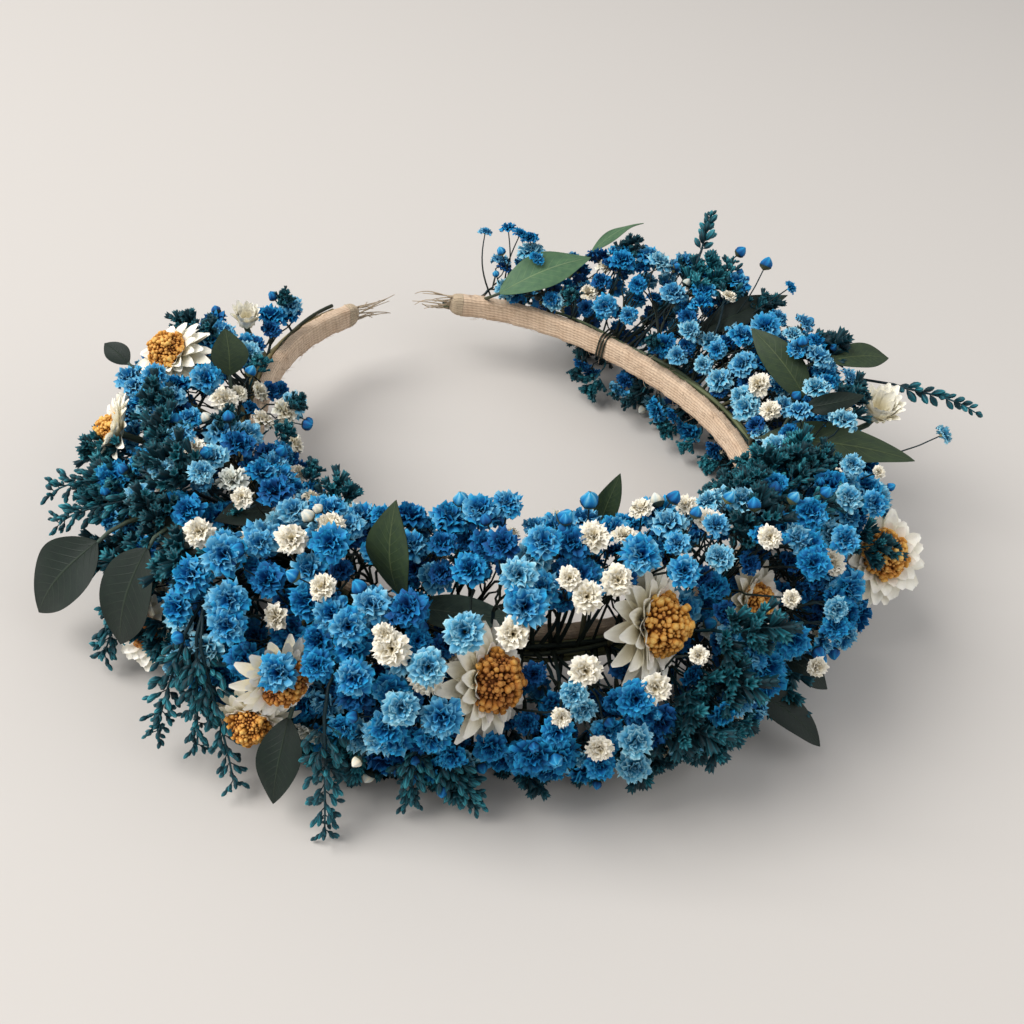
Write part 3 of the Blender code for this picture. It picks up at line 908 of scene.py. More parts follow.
@dataclass(frozen=True)
class FlowerHead:
    """A double baby's breath flower of radius 1 that opens along +Z from its calyx.

    Attributes:
        kind: what its petals are made of.
        rows: its rings of petals, from the outer one inwards.
        frill: how far the petals' tips wave.
        seed: what sets this head apart from the next.
    """

    kind: Kind = Kind.BLUE
    rows: tuple[PetalRow, ...] = (
        PetalRow(12, 1.08, 0.26, 50, -30),
        PetalRow(12, 1.08, 0.25, 62, -6),
        PetalRow(11, 1.06, 0.24, 74, 20),
        PetalRow(9, 1.02, 0.23, 82, 42),
        PetalRow(6, 0.96, 0.21, 88, 62),
    )
    frill: float = 0.15
    seed: int = 1

    def petals(self, row: PetalRow, number: int, rng: np.random.Generator) -> Shape:
        """Builds one ring of petals.

        Args:
            row: the ring's sizes.
            number: the ring's place, counted from outside.
            rng: the head's own chance.

        Returns:
            The ring's petals.
        """
        t = np.array([0.0, 0.36, 0.66, 0.88, 1.0])
        s = np.linspace(-1, 1, 5)
        n = row.count
        yaw = (np.arange(n) + 0.37 * number) * (math.tau / n) + rng.uniform(-0.16, 0.16, n)
        length = row.length * rng.uniform(0.84, 1.08, n)
        start = np.radians(row.start + rng.uniform(-7, 7, n))
        end = np.radians(row.end + rng.uniform(-16, 16, n))
        jag = rng.uniform(-0.20, 0.06, (n, 5))
        jag[:, 2] += rng.uniform(-0.12, 0.02, n)
        tip = 1 - 0.16 * s**2 + jag
        lean = start[:, None] + (end - start)[:, None] * t**1.3
        steps = np.diff(t, prepend=0)[None] * length[:, None]
        r = 0.06 + np.cumsum(np.cos(lean) * steps, axis=1)
        z = 0.10 + np.cumsum(np.sin(lean) * steps, axis=1)
        stretch = 1 + (tip[:, None, :] - 1) * (t**3)[None, :, None]
        half = row.width * (0.16 + 0.84 * np.sin(np.minimum(t / 0.82, 1) * math.pi / 2))
        phase = rng.uniform(0, math.tau, (n, 1, 1))
        wave = np.sin(s[None, None] * 4.2 + phase) * (t**2)[None, :, None] * self.frill
        wave = wave + 0.10 * (s**2)[None, None] * t[None, :, None]
        rr = r[:, :, None] * stretch - np.sin(lean)[:, :, None] * wave
        zz = z[:, :, None] * stretch + np.cos(lean)[:, :, None] * wave
        side = (s[None] * half[:, None])[None] * np.ones((n, 1, 1))
        grid = round_axis(rr, side, zz, yaw)
        return sheets(grid, self.kind, rng.uniform(-0.14, 0.14, n), 0.08)

    def calyx(self) -> Shape:
        """Builds the small green cup under the petals."""
        turns = np.arange(6) * (math.tau / 6)
        heights, radii = (-0.05, 0.12, 0.34), (0.05, 0.20, 0.24)
        rings = [[(q * math.cos(a), q * math.sin(a), h) for a in turns] for h, q in zip(heights, radii)]
        return sheets(np.array([rings]), Kind.STEM, np.array([0.25]), 0.2, True)

    def build(self) -> Shape:
        """Builds the whole head."""
        rng = np.random.default_rng(self.seed)
        rings = [self.petals(row, i, rng) for i, row in enumerate(self.rows)]
        return Shape.joined([*rings, self.calyx()])


@dataclass(frozen=True)
class Bud:
    """A closed round bud of radius 1 with folded petals, opening along +Z."""

    kind: Kind = Kind.BLUE
    sides: int = 10
    folds: int = 5

    def build(self) -> Shape:
        """Builds the bud and its calyx."""
        turns = np.arange(self.sides) * (math.tau / self.sides)
        lifts = np.linspace(0.0, 1.0, 7)
        radii = np.sin(np.pi * lifts**0.85) ** 0.7 * (1 - 0.15 * lifts)
        radii[0], radii[-1] = 0.12, 0.10
        wave = np.cos(turns * self.folds)
        fold = 1 + 0.18 * wave[None] * lifts[:, None] ** 1.2
        twist = turns[None] + 0.5 * lifts[:, None]
        ring = radii[:, None] * fold
        tall = np.broadcast_to((lifts * 2.0)[:, None], ring.shape)
        grid = np.stack([ring * np.cos(twist), ring * np.sin(twist), tall], axis=-1)[None]
        body = sheets(grid, self.kind, np.array([0.0]), 0.1, True)
        # Paler on the outer folds and deeper in the creases between them: painted light and painted shade.
        body.places[:, 1] += np.tile(0.22 * wave, len(radii))
        cup = grid[:, :3] * np.array([1.08, 1.08, 1.0]) - np.array([0, 0, 0.06])
        return Shape.joined([body, sheets(cup, Kind.STEM, np.array([0.3]), 0.2, True)])


@dataclass(frozen=True)
class Calyx:
    """A small dried teal calyx of length 1 that opens along +Z, with pleats down its sides.

    Attributes:
        pleats: how many folds go round it.
        profile: height and radius from its foot, over its rim and down inside.
        depth: how deep the folds are, of the radius.
    """

    pleats: int = 6
    profile: tuple[tuple[float, float], ...] = (
        (0.0, 0.05), (0.28, 0.13), (0.58, 0.20), (0.86, 0.25), (1.0, 0.27), (0.90, 0.19), (0.55, 0.05)
    )
    depth: float = 0.20

    def build(self) -> Shape:
        """Builds the calyx."""
        sides = self.pleats * 2
        turns = np.arange(sides) * (math.tau / sides)
        lifts, radii = np.array(self.profile).T
        fold = np.cos(turns * self.pleats)
        ring = radii[:, None] * (1 + self.depth * fold[None] * np.minimum(lifts * 2.2, 1)[:, None])
        tall = lifts[:, None] + 0.07 * fold[None] * lifts[:, None] ** 3
        grid = np.stack([ring * np.cos(turns), ring * np.sin(turns), tall], axis=-1)[None]
        shape = sheets(grid, Kind.TEAL, np.array([0.0]), 0.0, True)
        # Paler on the pleats' outer ridges and deeper in their folds: painted light and painted shade.
        shape.places[:, 1] += np.tile(0.24 * fold, len(radii))
        return shape


FUNNEL = Calyx()
CLOSED_CALYX = Calyx(5, ((0.0, 0.05), (0.22, 0.18), (0.5, 0.25), (0.78, 0.20), (1.0, 0.04)), 0.14)


@dataclass(frozen=True)
class Spray:
    """A teal spray of length 1 along +Z: a thin stem whose side branches carry calyces.

    Attributes:
        branches: how many side branches it has.
        crowd: calyces on each branch.
        spread: how far a branch reaches sideways.
        calyx_size: a calyx's length.
        seed: what sets this spray apart from the next.
    """

    branches: int = 7
    crowd: int = 7
    spread: float = 0.36
    calyx_size: float = 0.24
    seed: int = 1

    def build(self) -> Shape:
        """Builds the spray."""
        rng = np.random.default_rng(self.seed)
        t = np.linspace(0, 1, 7)
        bow = 0.06
        main = np.stack([bow * np.sin(np.pi * t), 0 * t, t * 0.85], axis=1)
        parts = [rod(main, 0.026, 0.012, Kind.TEAL, 0.2, 4)]
        ways, spots = [], []
        for i, at in enumerate(np.linspace(0.22, 0.82, self.branches)):
            yaw = i * 2.4 + rng.uniform(-0.4, 0.4)
            base = np.array([bow * math.sin(math.pi * at), 0, at])
            reach = self.spread * (1.15 - 0.75 * at) * rng.uniform(0.8, 1.15)
            out = np.array([math.cos(yaw), math.sin(yaw), 0.0])
            tip = base + out * reach + np.array([0, 0, reach * 0.6 + 0.04])
            path = bend(base, tip, np.array([0, 0, 1.0]), unit(out * 0.6 + [0, 0, 0.8]), 4)
            parts.append(rod(path, 0.011, 0.011, Kind.TEAL, 0.1, 3))
            for j in range(self.crowd):
                share = 1 - j / self.crowd * 0.85
                lean = np.array([math.cos(yaw + 2.1 * j), math.sin(yaw + 2.1 * j), 1.3])
                spots.append(base + (tip - base) * share)
                ways.append(unit(lean + out * 0.5 + rng.normal(0, 0.15, 3)))
        frames = turned_frames(np.array(ways), rng.uniform(0, math.tau, len(ways)))
        sizes = self.calyx_size * rng.uniform(0.75, 1.2, len(ways))
        tones = rng.uniform(-0.22, 0.28, len(ways))
        parts.append(FUNNEL.build().copies(frames * sizes[:, None, None], np.array(spots), tones))
        return Shape.joined(parts)


# ---------------------------------------------------------------- what keeps its own space


@dataclass
class Clearings:
    """Spaces round daisies and leaves that the small flowers leave free."""

    starts: list[Array] = field(default_factory=list)
    ends: list[Array] = field(default_factory=list)
    radii: list[float] = field(default_factory=list)

    def keep(self, start: Array, end: Array, radius: float) -> None:
        """Keeps the space round a line free."""
        self.starts.append(start)
        self.ends.append(end)
        self.radii.append(radius)

    def keep_in_view(self, spot: Array, radius: float) -> None:
        """Keeps the space free between a spot and the side that the crown is shown from."""
        show = unit(np.array(Room.eye) + SHIFT - spot)
        self.keep(spot + show * radius * 0.4, spot + show * VIEW_REACH, radius)

    def free(self, spots: Array, size: float) -> Array:
        """Tells which spots lie outside every kept space.

        Args:
            spots: (n, 3).
            size: the radius of what goes there.

        Returns:
            (n,) True where it fits.
        """
        good = np.ones(len(spots), bool)
        for start, end, radius in zip(self.starts, self.ends, self.radii):
            run = end - start
            share = np.clip((spots - start) @ run / (run @ run), 0, 1)
            gap = np.linalg.norm(spots - start - share[:, None] * run, axis=1)
            good &= gap > radius + size
        return good


CLEARINGS = Clearings()
# The valley at the front, where no head is set, and the bare stretch by the left tip
VALLEY_ANGLES = (-27.0, -7.0)
VALLEY_TILTS = (27.0, 55.0)
TIP_ANGLES = (-162.0, -134.0)
BARE_RADIUS = 3.6 * MM
# How far in front of a shown spot flowers are kept away
VIEW_REACH = 34 * MM
# A flower whose place isn't free tries these parts of its way out from the band
SINKS = (0.85, 0.70, 0.55, 0.42)
TRIES_PER_SQUARE_METRE = 6e5
LEAST_TRIES = 40
# How much paler the heads on the two arms are than those at the front, which is this wide
ARM_LIFT = 0.15
FRONT_MIDDLE = -20.0
FRONT_HALF = 25.0
FRONT_BLEND = 40.0
# The part of its listed radius that a head with a place of its own is made with
ACCENT_SIZE = 0.9
# Buds: their radii, how deep their stems start below a head, and how far aside and up they stand
BUD_SIZES = (1.1 * MM, 1.7 * MM)
BUD_ROOT = 4 * MM
BUD_ASIDE = (3 * MM, 6 * MM)
BUD_RISE = (1 * MM, 5 * MM)
BUD_STEM = 0.20 * MM
SPRAY_LENGTHS = (7 * MM, 18 * MM)
SPRAY_STEM = 0.36 * MM
# Buds and the tips of sprays stay at least this far over the table
LEAST_HEIGHT = 3 * MM
STEMS_TOGETHER = 5


@dataclass(frozen=True)
class Recipe:
    """What a bunch is made of.

    Attributes:
        gap: the distance between neighbouring flower heads.
        sizes: the smallest and largest head, as radii.
        ivory: the share of ivory heads.
        tone: the heads' mean tone.
        filler: the distance between the heads inside, whose darker tone is painted shade.
        buds: buds for each head.
        sprays: the distance between teal sprays, or 0 for none.
        blue_part: past this angle and below this tilt the bunch is blue whatever its kind.
    """

    gap: float = 0.0067
    sizes: tuple[float, float] = (0.0029, 0.0047)
    ivory: float = 0.09
    tone: float = 0.45
    filler: float = 0.0088
    buds: float = 0.40
    sprays: float = 0.0
    blue_part: tuple[float, float] = (180.0, -90.0)


RECIPES = {
    "blue": Recipe(sprays=0.030),
    "ivory": Recipe(ivory=0.45, tone=0.60, sprays=0.022),
    "teal": Recipe(gap=0.0105, ivory=0.14, tone=0.45, filler=0.013, sprays=0.0082),
}


@dataclass(frozen=True)
class Accent:
    """A flower head with a place of its own on the garland's surface.

    Attributes:
        angle: its angle along the band.
        tilt: its direction in the cross-section.
        radius_mm: its size.
        kind: blue or ivory.
        tone: from deep, 0, to pale, 1.
    """

    angle: float
    tilt: float
    radius_mm: float
    kind: Kind
    tone: float


@dataclass(frozen=True)
class Places:
    """Places for flowers, each with its direction.

    Attributes:
        angles: angles along the band.
        spots: the points.
        normals: the directions that the garland's surface faces there.
        left: the distance from each spot to the surface.
    """

    angles: Array
    spots: Array
    normals: Array
    left: Array


@dataclass(frozen=True)
class Templates:
    """The few flower shapes that the whole garland repeats."""

    blue: tuple[Shape, ...]
    ivory: tuple[Shape, ...]
    blue_bud: Shape
    ivory_bud: Shape
    sprays: tuple[Shape, ...]

    @staticmethod
    def grown() -> "Templates":
        """Builds every template."""
        blue = tuple(FlowerHead(Kind.BLUE, seed=11 + i).build() for i in range(5))
        ivory = tuple(FlowerHead(Kind.IVORY, seed=31 + i, frill=0.14).build() for i in range(3))
        sprays = tuple(Spray(seed=51 + i).build() for i in range(4))
        return Templates(blue, ivory, Bud(Kind.BLUE).build(), Bud(Kind.IVORY).build(), sprays)


@dataclass
class Bunch:
    """One bunch of the garland: flower heads, buds and sprays on branching stems.

    Attributes:
        name: the plain solid that it replaces.
        recipe: what it is made of.
        angles: where it starts and ends along the band.
        tilts: its lowest and highest direction in the cross-section.
        seed: what sets this bunch apart from the next.
        accents: its heads with places of their own.
        parts: the shapes that are ready.
    """

    name: str
    recipe: Recipe
    angles: tuple[float, float]
    tilts: tuple[float, float]
    seed: int
    accents: tuple[Accent, ...] = ()
    parts: list[Shape] = field(default_factory=list)

    def __post_init__(self) -> None:
        """Seeds the bunch's own chance."""
        self.rng = np.random.default_rng(1000 + self.seed)
        self.kept = np.zeros((0, 3))

    def scatter(self, gap: float, depth: tuple[float, float], size: float, blue_gap: float = 0.0) -> Places:
        """Picks well-spread places under the garland's surface.

        Where a leaf or a daisy shows, places sink towards the band until they are behind it.

        Args:
            gap: the least distance between two places.
            depth: how far out they lie, as parts of the surface's reach.
            size: the radius that must stay free of leaves and daisies.
            blue_gap: the gap in the bunch's blue part, if it is another one.

        Returns:
            The places.
        """
        reach, _ = CROWN.surface(np.array([sum(self.angles) / 2]), np.array([sum(self.tilts) / 2]))
        wide = math.radians(self.angles[1] - self.angles[0]) * (CROWN.radius + float(reach[0]) / 2)
        tall = math.radians(self.tilts[1] - self.tilts[0]) * float(reach[0])
        tries = int(wide * tall * TRIES_PER_SQUARE_METRE) + LEAST_TRIES
        angle = self.rng.uniform(*self.angles, tries)
        tilt = self.rng.uniform(*self.tilts, tries)
        far, normal = CROWN.surface(angle, tilt)
        start = CROWN.foot * 0.6
        room = (far - start - size) * self.rng.uniform(*depth, tries)
        spots = CROWN.inside(angle, tilt, start + room)
        left = far - start - room
        good = CLEARINGS.free(spots, size * 0.7)
        for sink in SINKS:
            lower = CROWN.inside(angle, tilt, start + room * sink)
            here = ~good & CLEARINGS.free(lower, size * 0.7)
            spots[here], left[here] = lower[here], left[here] * sink**3
            good |= here
        valley = (angle > VALLEY_ANGLES[0]) & (angle < VALLEY_ANGLES[1])
        valley &= (tilt > VALLEY_TILTS[0]) & (tilt < VALLEY_TILTS[1])
        good &= ~valley & (spots[:, 2] > size * 0.8)
        since, below = self.recipe.blue_part
        gaps = np.where((angle > since) & (tilt < below), blue_gap or gap, gap)
        chosen: list[int] = []
        taken = self.kept
        for i in np.flatnonzero(good):
            if len(taken) == 0 or np.linalg.norm(taken - spots[i], axis=1).min() > gaps[i]:
                chosen.append(int(i))
                taken = np.concatenate([taken, spots[i : i + 1]])
        return Places(angle[chosen], spots[chosen], normal[chosen], left[chosen])

    def patchy(self, spots: Array) -> Array:
        """Returns a tone that changes slowly from place to place, about -1 to 1."""
        wave = np.sin(spots @ np.array([420.0, 260.0, 130.0]) + self.seed)
        return wave * np.cos(spots @ np.array([-160.0, 330.0, 390.0]) + 2 * self.seed)

    def ways_out(self, places: Places, stray: float) -> Array:
        """Mixes the surface's direction with the way from the band, an upward pull and chance."""
        foot = CROWN.at(places.angles, 0.0, CROWN.level)
        loose = self.rng.normal(0, stray, places.spots.shape)
        return unit(places.normals + 0.5 * unit(places.spots - foot) + loose + np.array([0, 0, 0.25]))

    def add_heads(
        self, shapes: Sequence[Shape], spots: Array, ways: Array, sizes: Array, tones: Array
    ) -> None:
        """Adds a flower head at each spot.

        Args:
            shapes: the templates to choose from.
            spots: where the heads' calyces go.
            ways: the direction that each head faces.
            sizes: their radii.
            tones: what each adds to the tone.
        """
        if not len(spots):
            return
        turns = turned_frames(ways, self.rng.uniform(0, math.tau, len(spots))) * sizes[:, None, None]
        pick = self.rng.integers(0, len(shapes), len(spots))
        for number, shape in enumerate(shapes):
            mine = pick == number
            if mine.any():
                self.parts.append(shape.copies(turns[mine], spots[mine], tones[mine]))

    def add_stems(self, angle: Array, spots: Array, ways: Array) -> None:
        """Joins every spot to the band by a branching stem.

        Args:
            angle: the spots' angles along the band.
            spots: where the stems end.
            ways: the directions that they arrive in.
        """
        order = np.argsort(angle + self.rng.uniform(-4, 4, len(angle)))
        for start in range(0, len(order), STEMS_TOGETHER):
            group = order[start : start + STEMS_TOGETHER]
            middle = angle[group].mean()
            root = CROWN.stem_place(middle + self.rng.uniform(-6, 6))
            fork = root + (spots[group].mean(axis=0) - root) * self.rng.uniform(0.40, 0.58)
            up = unit(fork - root)
            trunk = bend(root, fork, up, unit(up + self.rng.normal(0, 0.2, 3)), 5)
            tone = self.rng.uniform(0.05, 0.5)
            self.parts.append(rod(trunk, 0.60 * MM, 0.40 * MM, Kind.STEM, tone))
            paths = np.array([bend(fork, spots[i], up, ways[i], 6) for i in group])
            kinks = self.rng.normal(0, 4e-4, paths.shape)
            kinks[:, [0, -1]] = 0
            widths = np.tile(np.linspace(3.4e-4, 2.2e-4, 7), (len(group), 1))
            tones = self.rng.uniform(0.0, 0.45, len(group))
            self.parts.append(rods(paths + kinks, widths, Kind.STEM, tones, 4))

    def build(self, workshop: Workshop, templates: Templates) -> None:
        """Builds the bunch and lets it replace its plain solid.

        Args:
            workshop: makes the piece.
            templates: the flower shapes.
        """
        mix = self.recipe
        own = self.add_accents(templates)
        top = self.scatter(mix.gap, (0.84, 1.0), mix.sizes[1] * 0.9, RECIPES["blue"].gap)
        ways = self.ways_out(top, 0.28)
        count = len(ways)
        ivory = self.rng.uniform(0, 1, count) < mix.ivory
        sizes = self.rng.uniform(*mix.sizes, count)
        tones = mix.tone + 0.24 * self.patchy(top.spots) + self.rng.normal(0, 0.20, count)
        off_front = np.abs(top.angles - FRONT_MIDDLE) - FRONT_HALF
        tones += ARM_LIFT * np.clip(off_front / FRONT_BLEND, 0, 1)
        tones = np.clip(tones, 0.05, 0.95)
        self.add_heads(templates.blue, top.spots[~ivory], ways[~ivory], sizes[~ivory], tones[~ivory])
        pale = np.clip(self.rng.normal(0.60, 0.2, count), 0.1, 0.9)
        self.add_heads(templates.ivory, top.spots[ivory], ways[ivory], sizes[ivory] * 0.84, pale[ivory])
        under = self.scatter(mix.filler, (0.45, 0.74), mix.sizes[0], RECIPES["blue"].filler)
        under_ways = self.ways_out(under, 0.4)
        count = len(under_ways)
        # The heads inside the bunch get deep tones: painted shade among the stems and the gaps between heads.
        small, dark = np.full(count, mix.sizes[0]), self.rng.uniform(0.0, 0.25, count)
        self.add_heads(templates.blue, under.spots, under_ways, small, dark)
        if len(top.spots):
            self.add_buds(templates, top, ways)
        if mix.sprays:
            self.add_sprays(templates)
        stemmed = (own, (top.angles, top.spots, ways), (under.angles, under.spots, under_ways))
        angles, spots, ends = (np.concatenate(group) for group in zip(*stemmed))
        if len(spots):
            self.add_stems(angles, spots, ends)
        shape = Shape.joined(self.parts)
        workshop.make(self.name, shape, DRIED, (self.name,), self.name.rsplit("_", 1)[0])

    def add_accents(self, templates: Templates) -> tuple[Array, Array, Array]:
        """Adds the heads that have places of their own.

        Args:
            templates: the flower shapes.

        Returns:
            Their angles, spots and directions.
        """
        if not self.accents:
            return np.zeros(0), np.zeros((0, 3)), np.zeros((0, 3))
        table = np.array([(a.angle, a.tilt, a.radius_mm * ACCENT_SIZE * MM, a.tone) for a in self.accents])
        angle, tilt, sizes, tones = table.T
        far, normal = CROWN.surface(angle, tilt)
        spots = CROWN.inside(angle, tilt, far - sizes * 0.6)
        show = unit(np.array(Room.eye) + SHIFT - spots)
        ways = unit(normal + show * 0.8 + self.rng.normal(0, 0.10, spots.shape))
        ivory = np.array([a.kind is Kind.IVORY for a in self.accents])
        self.add_heads(templates.blue, spots[~ivory], ways[~ivory], sizes[~ivory], tones[~ivory])
        self.add_heads(templates.ivory, spots[ivory], ways[ivory], sizes[ivory], tones[ivory])
        self.kept = spots
        return angle, spots, ways

    def add_buds(self, templates: Templates, heads: Places, ways: Array) -> None:
        """Adds closed buds on short stems between the heads.

        Args:
            templates: the flower shapes.
            heads: the heads' places.
            ways: the directions that they face.
        """
        spots = heads.spots
        count = max(1, int(len(spots) * self.recipe.buds))
        near = self.rng.integers(0, len(spots), count)
        side = unit(np.cross(ways[near], self.rng.normal(0, 1, (count, 3))))
        base = spots[near] - ways[near] * BUD_ROOT
        tips = spots[near] + side * self.rng.uniform(*BUD_ASIDE, (count, 1))
        tips = tips + ways[near] * self.rng.uniform(*BUD_RISE, (count, 1))
        free = CLEARINGS.free(tips, MM) & (tips[:, 2] > LEAST_HEIGHT)
        base, tips, near = base[free], tips[free], near[free]
        lean = unit(tips - base)
        sizes = self.rng.uniform(*BUD_SIZES, len(tips))
        tones = np.clip(self.rng.normal(self.recipe.tone - 0.2, 0.15, len(tips)), 0.05, 0.9)
        pale = self.rng.uniform(0, 1, len(tips)) < self.recipe.ivory
        self.add_heads((templates.blue_bud,), tips[~pale], lean[~pale], sizes[~pale], tones[~pale])
        self.add_heads((templates.ivory_bud,), tips[pale], lean[pale], sizes[pale], tones[pale])
        if len(tips):
            paths = np.array([bend(b, t, w, v, 4) for b, t, w, v in zip(base, tips, ways[near], lean)])
            tones = self.rng.uniform(0, 0.4, len(tips))
            self.parts.append(rods(paths, np.full(paths.shape[:2], BUD_STEM), Kind.STEM, tones, 4))

    def add_sprays(self, templates: Templates) -> None:
        """Adds teal sprays that fan out from inside the bunch up to the garland's surface."""
        places = self.scatter(self.recipe.sprays, (0.45, 0.66), 0.001, RECIPES["blue"].sprays)
        if not len(places.spots):
            return
        ways = self.ways_out(places, 0.25)
        count = len(ways)
        sizes = np.clip((places.left + 0.001) * self.rng.uniform(0.80, 1.05, count), *SPRAY_LENGTHS)
        lowest = (REST_HEIGHT + LEAST_HEIGHT - places.spots[:, 2]) / sizes
        ways[:, 2] = np.maximum(ways[:, 2], lowest)
        ways = unit(ways)
        tones = np.clip(self.rng.normal(0.36, 0.14, count), 0.1, 0.8)
        self.add_heads(templates.sprays, places.spots, ways, sizes, tones)
        root = CROWN.stem_place(places.angles + self.rng.uniform(-8, 8, count))
        paths = np.array([bend(r, s, w, w, 5) for r, s, w in zip(root, places.spots, ways)])
        tones = self.rng.uniform(0, 0.3, count)
        self.parts.append(rods(paths, np.full(paths.shape[:2], SPRAY_STEM), Kind.TEAL, tones, 4))


# ---------------------------------------------------------------- leaves and daisies


@dataclass(frozen=True)
class Leaf:
    """One preserved leaf on its stalk.

    Attributes:
        name: the piece's name.
        root: the angle where its stalk leaves the stem bundle.
        base: where the blade starts: angle, and parts of the garland's out and up.
        tip: where it ends, in the same way.
        width: the blade's width.
        way: what the blade faces: along the band, outwards and up.
        finish: its finish.
        bow: how far the blade bows towards its face, of its length.
        fold: how far its halves fold up, of its half width.
        shown: how much of its width no flower hides.
    """

    name: str
    root: float
    base: Triple
    tip: Triple
    width: float
    way: Triple
    finish: LeafFinish
    bow: float = 0.10
    fold: float = 0.12
    shown: float = 0.7

    def directions(self) -> tuple[Array, Array, Array, Array, Array]:
        """Returns the blade's start, end, run, side and face."""
        start, end = CROWN.placed(self.base), CROWN.placed(self.tip)
        run = unit(end - start)
        face = CROWN.facing((self.base[0] + self.tip[0]) / 2, self.way)
        side = unit(np.cross(run, face))
        return start, end, run, side, np.cross(side, run)

    def keep_clear(self) -> None:
        """Keeps flowers out of the space in front of the blade."""
        start, end, run, _, face = self.directions()
        lift = face * self.width * 0.30
        CLEARINGS.keep(start + run * 0.004 + lift, end + lift, self.width * 0.34)
        for part in (0.35, 0.60, 0.85):
            CLEARINGS.keep_in_view(start + (end - start) * part, self.width * 0.5 * self.shown)

    def blade(self, under: bool) -> Array:
        """Gives the grid of one face of the blade.

        Args:
            under: True for its underside.

        Returns:
            The grid, (1, rows, columns, 3).
        """
        start, end, run, side, face = self.directions()
        length = np.linalg.norm(end - start)
        t, s = np.linspace(0, 1, 25)[:, None], np.linspace(-1, 1, 11)[None]
        half = self.width / 2 * np.sin(np.pi * t**0.8) ** 0.85
        half[0], half[-1] = 0.00045, 0.00008
        wave = 0.035 * length * np.sin(5.5 * t + 1.3 * s + self.root) * (s**2) * np.sin(np.pi * t)
        lift = self.bow * length * np.sin(np.pi * t) + self.fold * half * np.abs(s) ** 1.5 + wave
        thick = 0.00016 * (1 - 0.6 * s**2) + 0.00018 * np.exp(-((s / 0.10) ** 2)) * (1 - t)
        lift = lift - thick if under else lift + thick
        sway = 0.025 * length * np.sin(2.6 * t + self.root)
        return (
            start
            + run * (t * length + 0 * s)[..., None]
            + side * (s * half + sway - sway[0])[..., None]
            + face * lift[..., None]
        )[None]

    def build(self, workshop: Workshop, nodes: Sequence[str] = ()) -> None:
        """Builds the leaf.

        Args:
            workshop: makes the piece.
            nodes: the plain solids that it stands for.
        """
        start, _, run, _, _ = self.directions()
        upper = sheets(self.blade(False), Kind.LEAF, np.array([0.125]), 0.24)
        lower = sheets(self.blade(True), Kind.LEAF, np.array([0.375]), 0.24)
        lower.faces = lower.faces[:, ::-1].copy()
        root = CROWN.stem_place(self.root)
        path = bend(root, start + run * 0.0015, unit(start - root), run, 8, 0.38)
        stalk = rod(path, 0.65 * MM, 0.45 * MM, Kind.STEM, 0.62, 6)
        slot = None if not nodes else ("pale_leaf" if self.finish is PALE_LEAF else "leaf")
        workshop.make(self.name, Shape.joined([upper, lower, stalk]),
                      {Kind.LEAF: self.finish, Kind.STEM: LEAF_STALK}, nodes, slot)


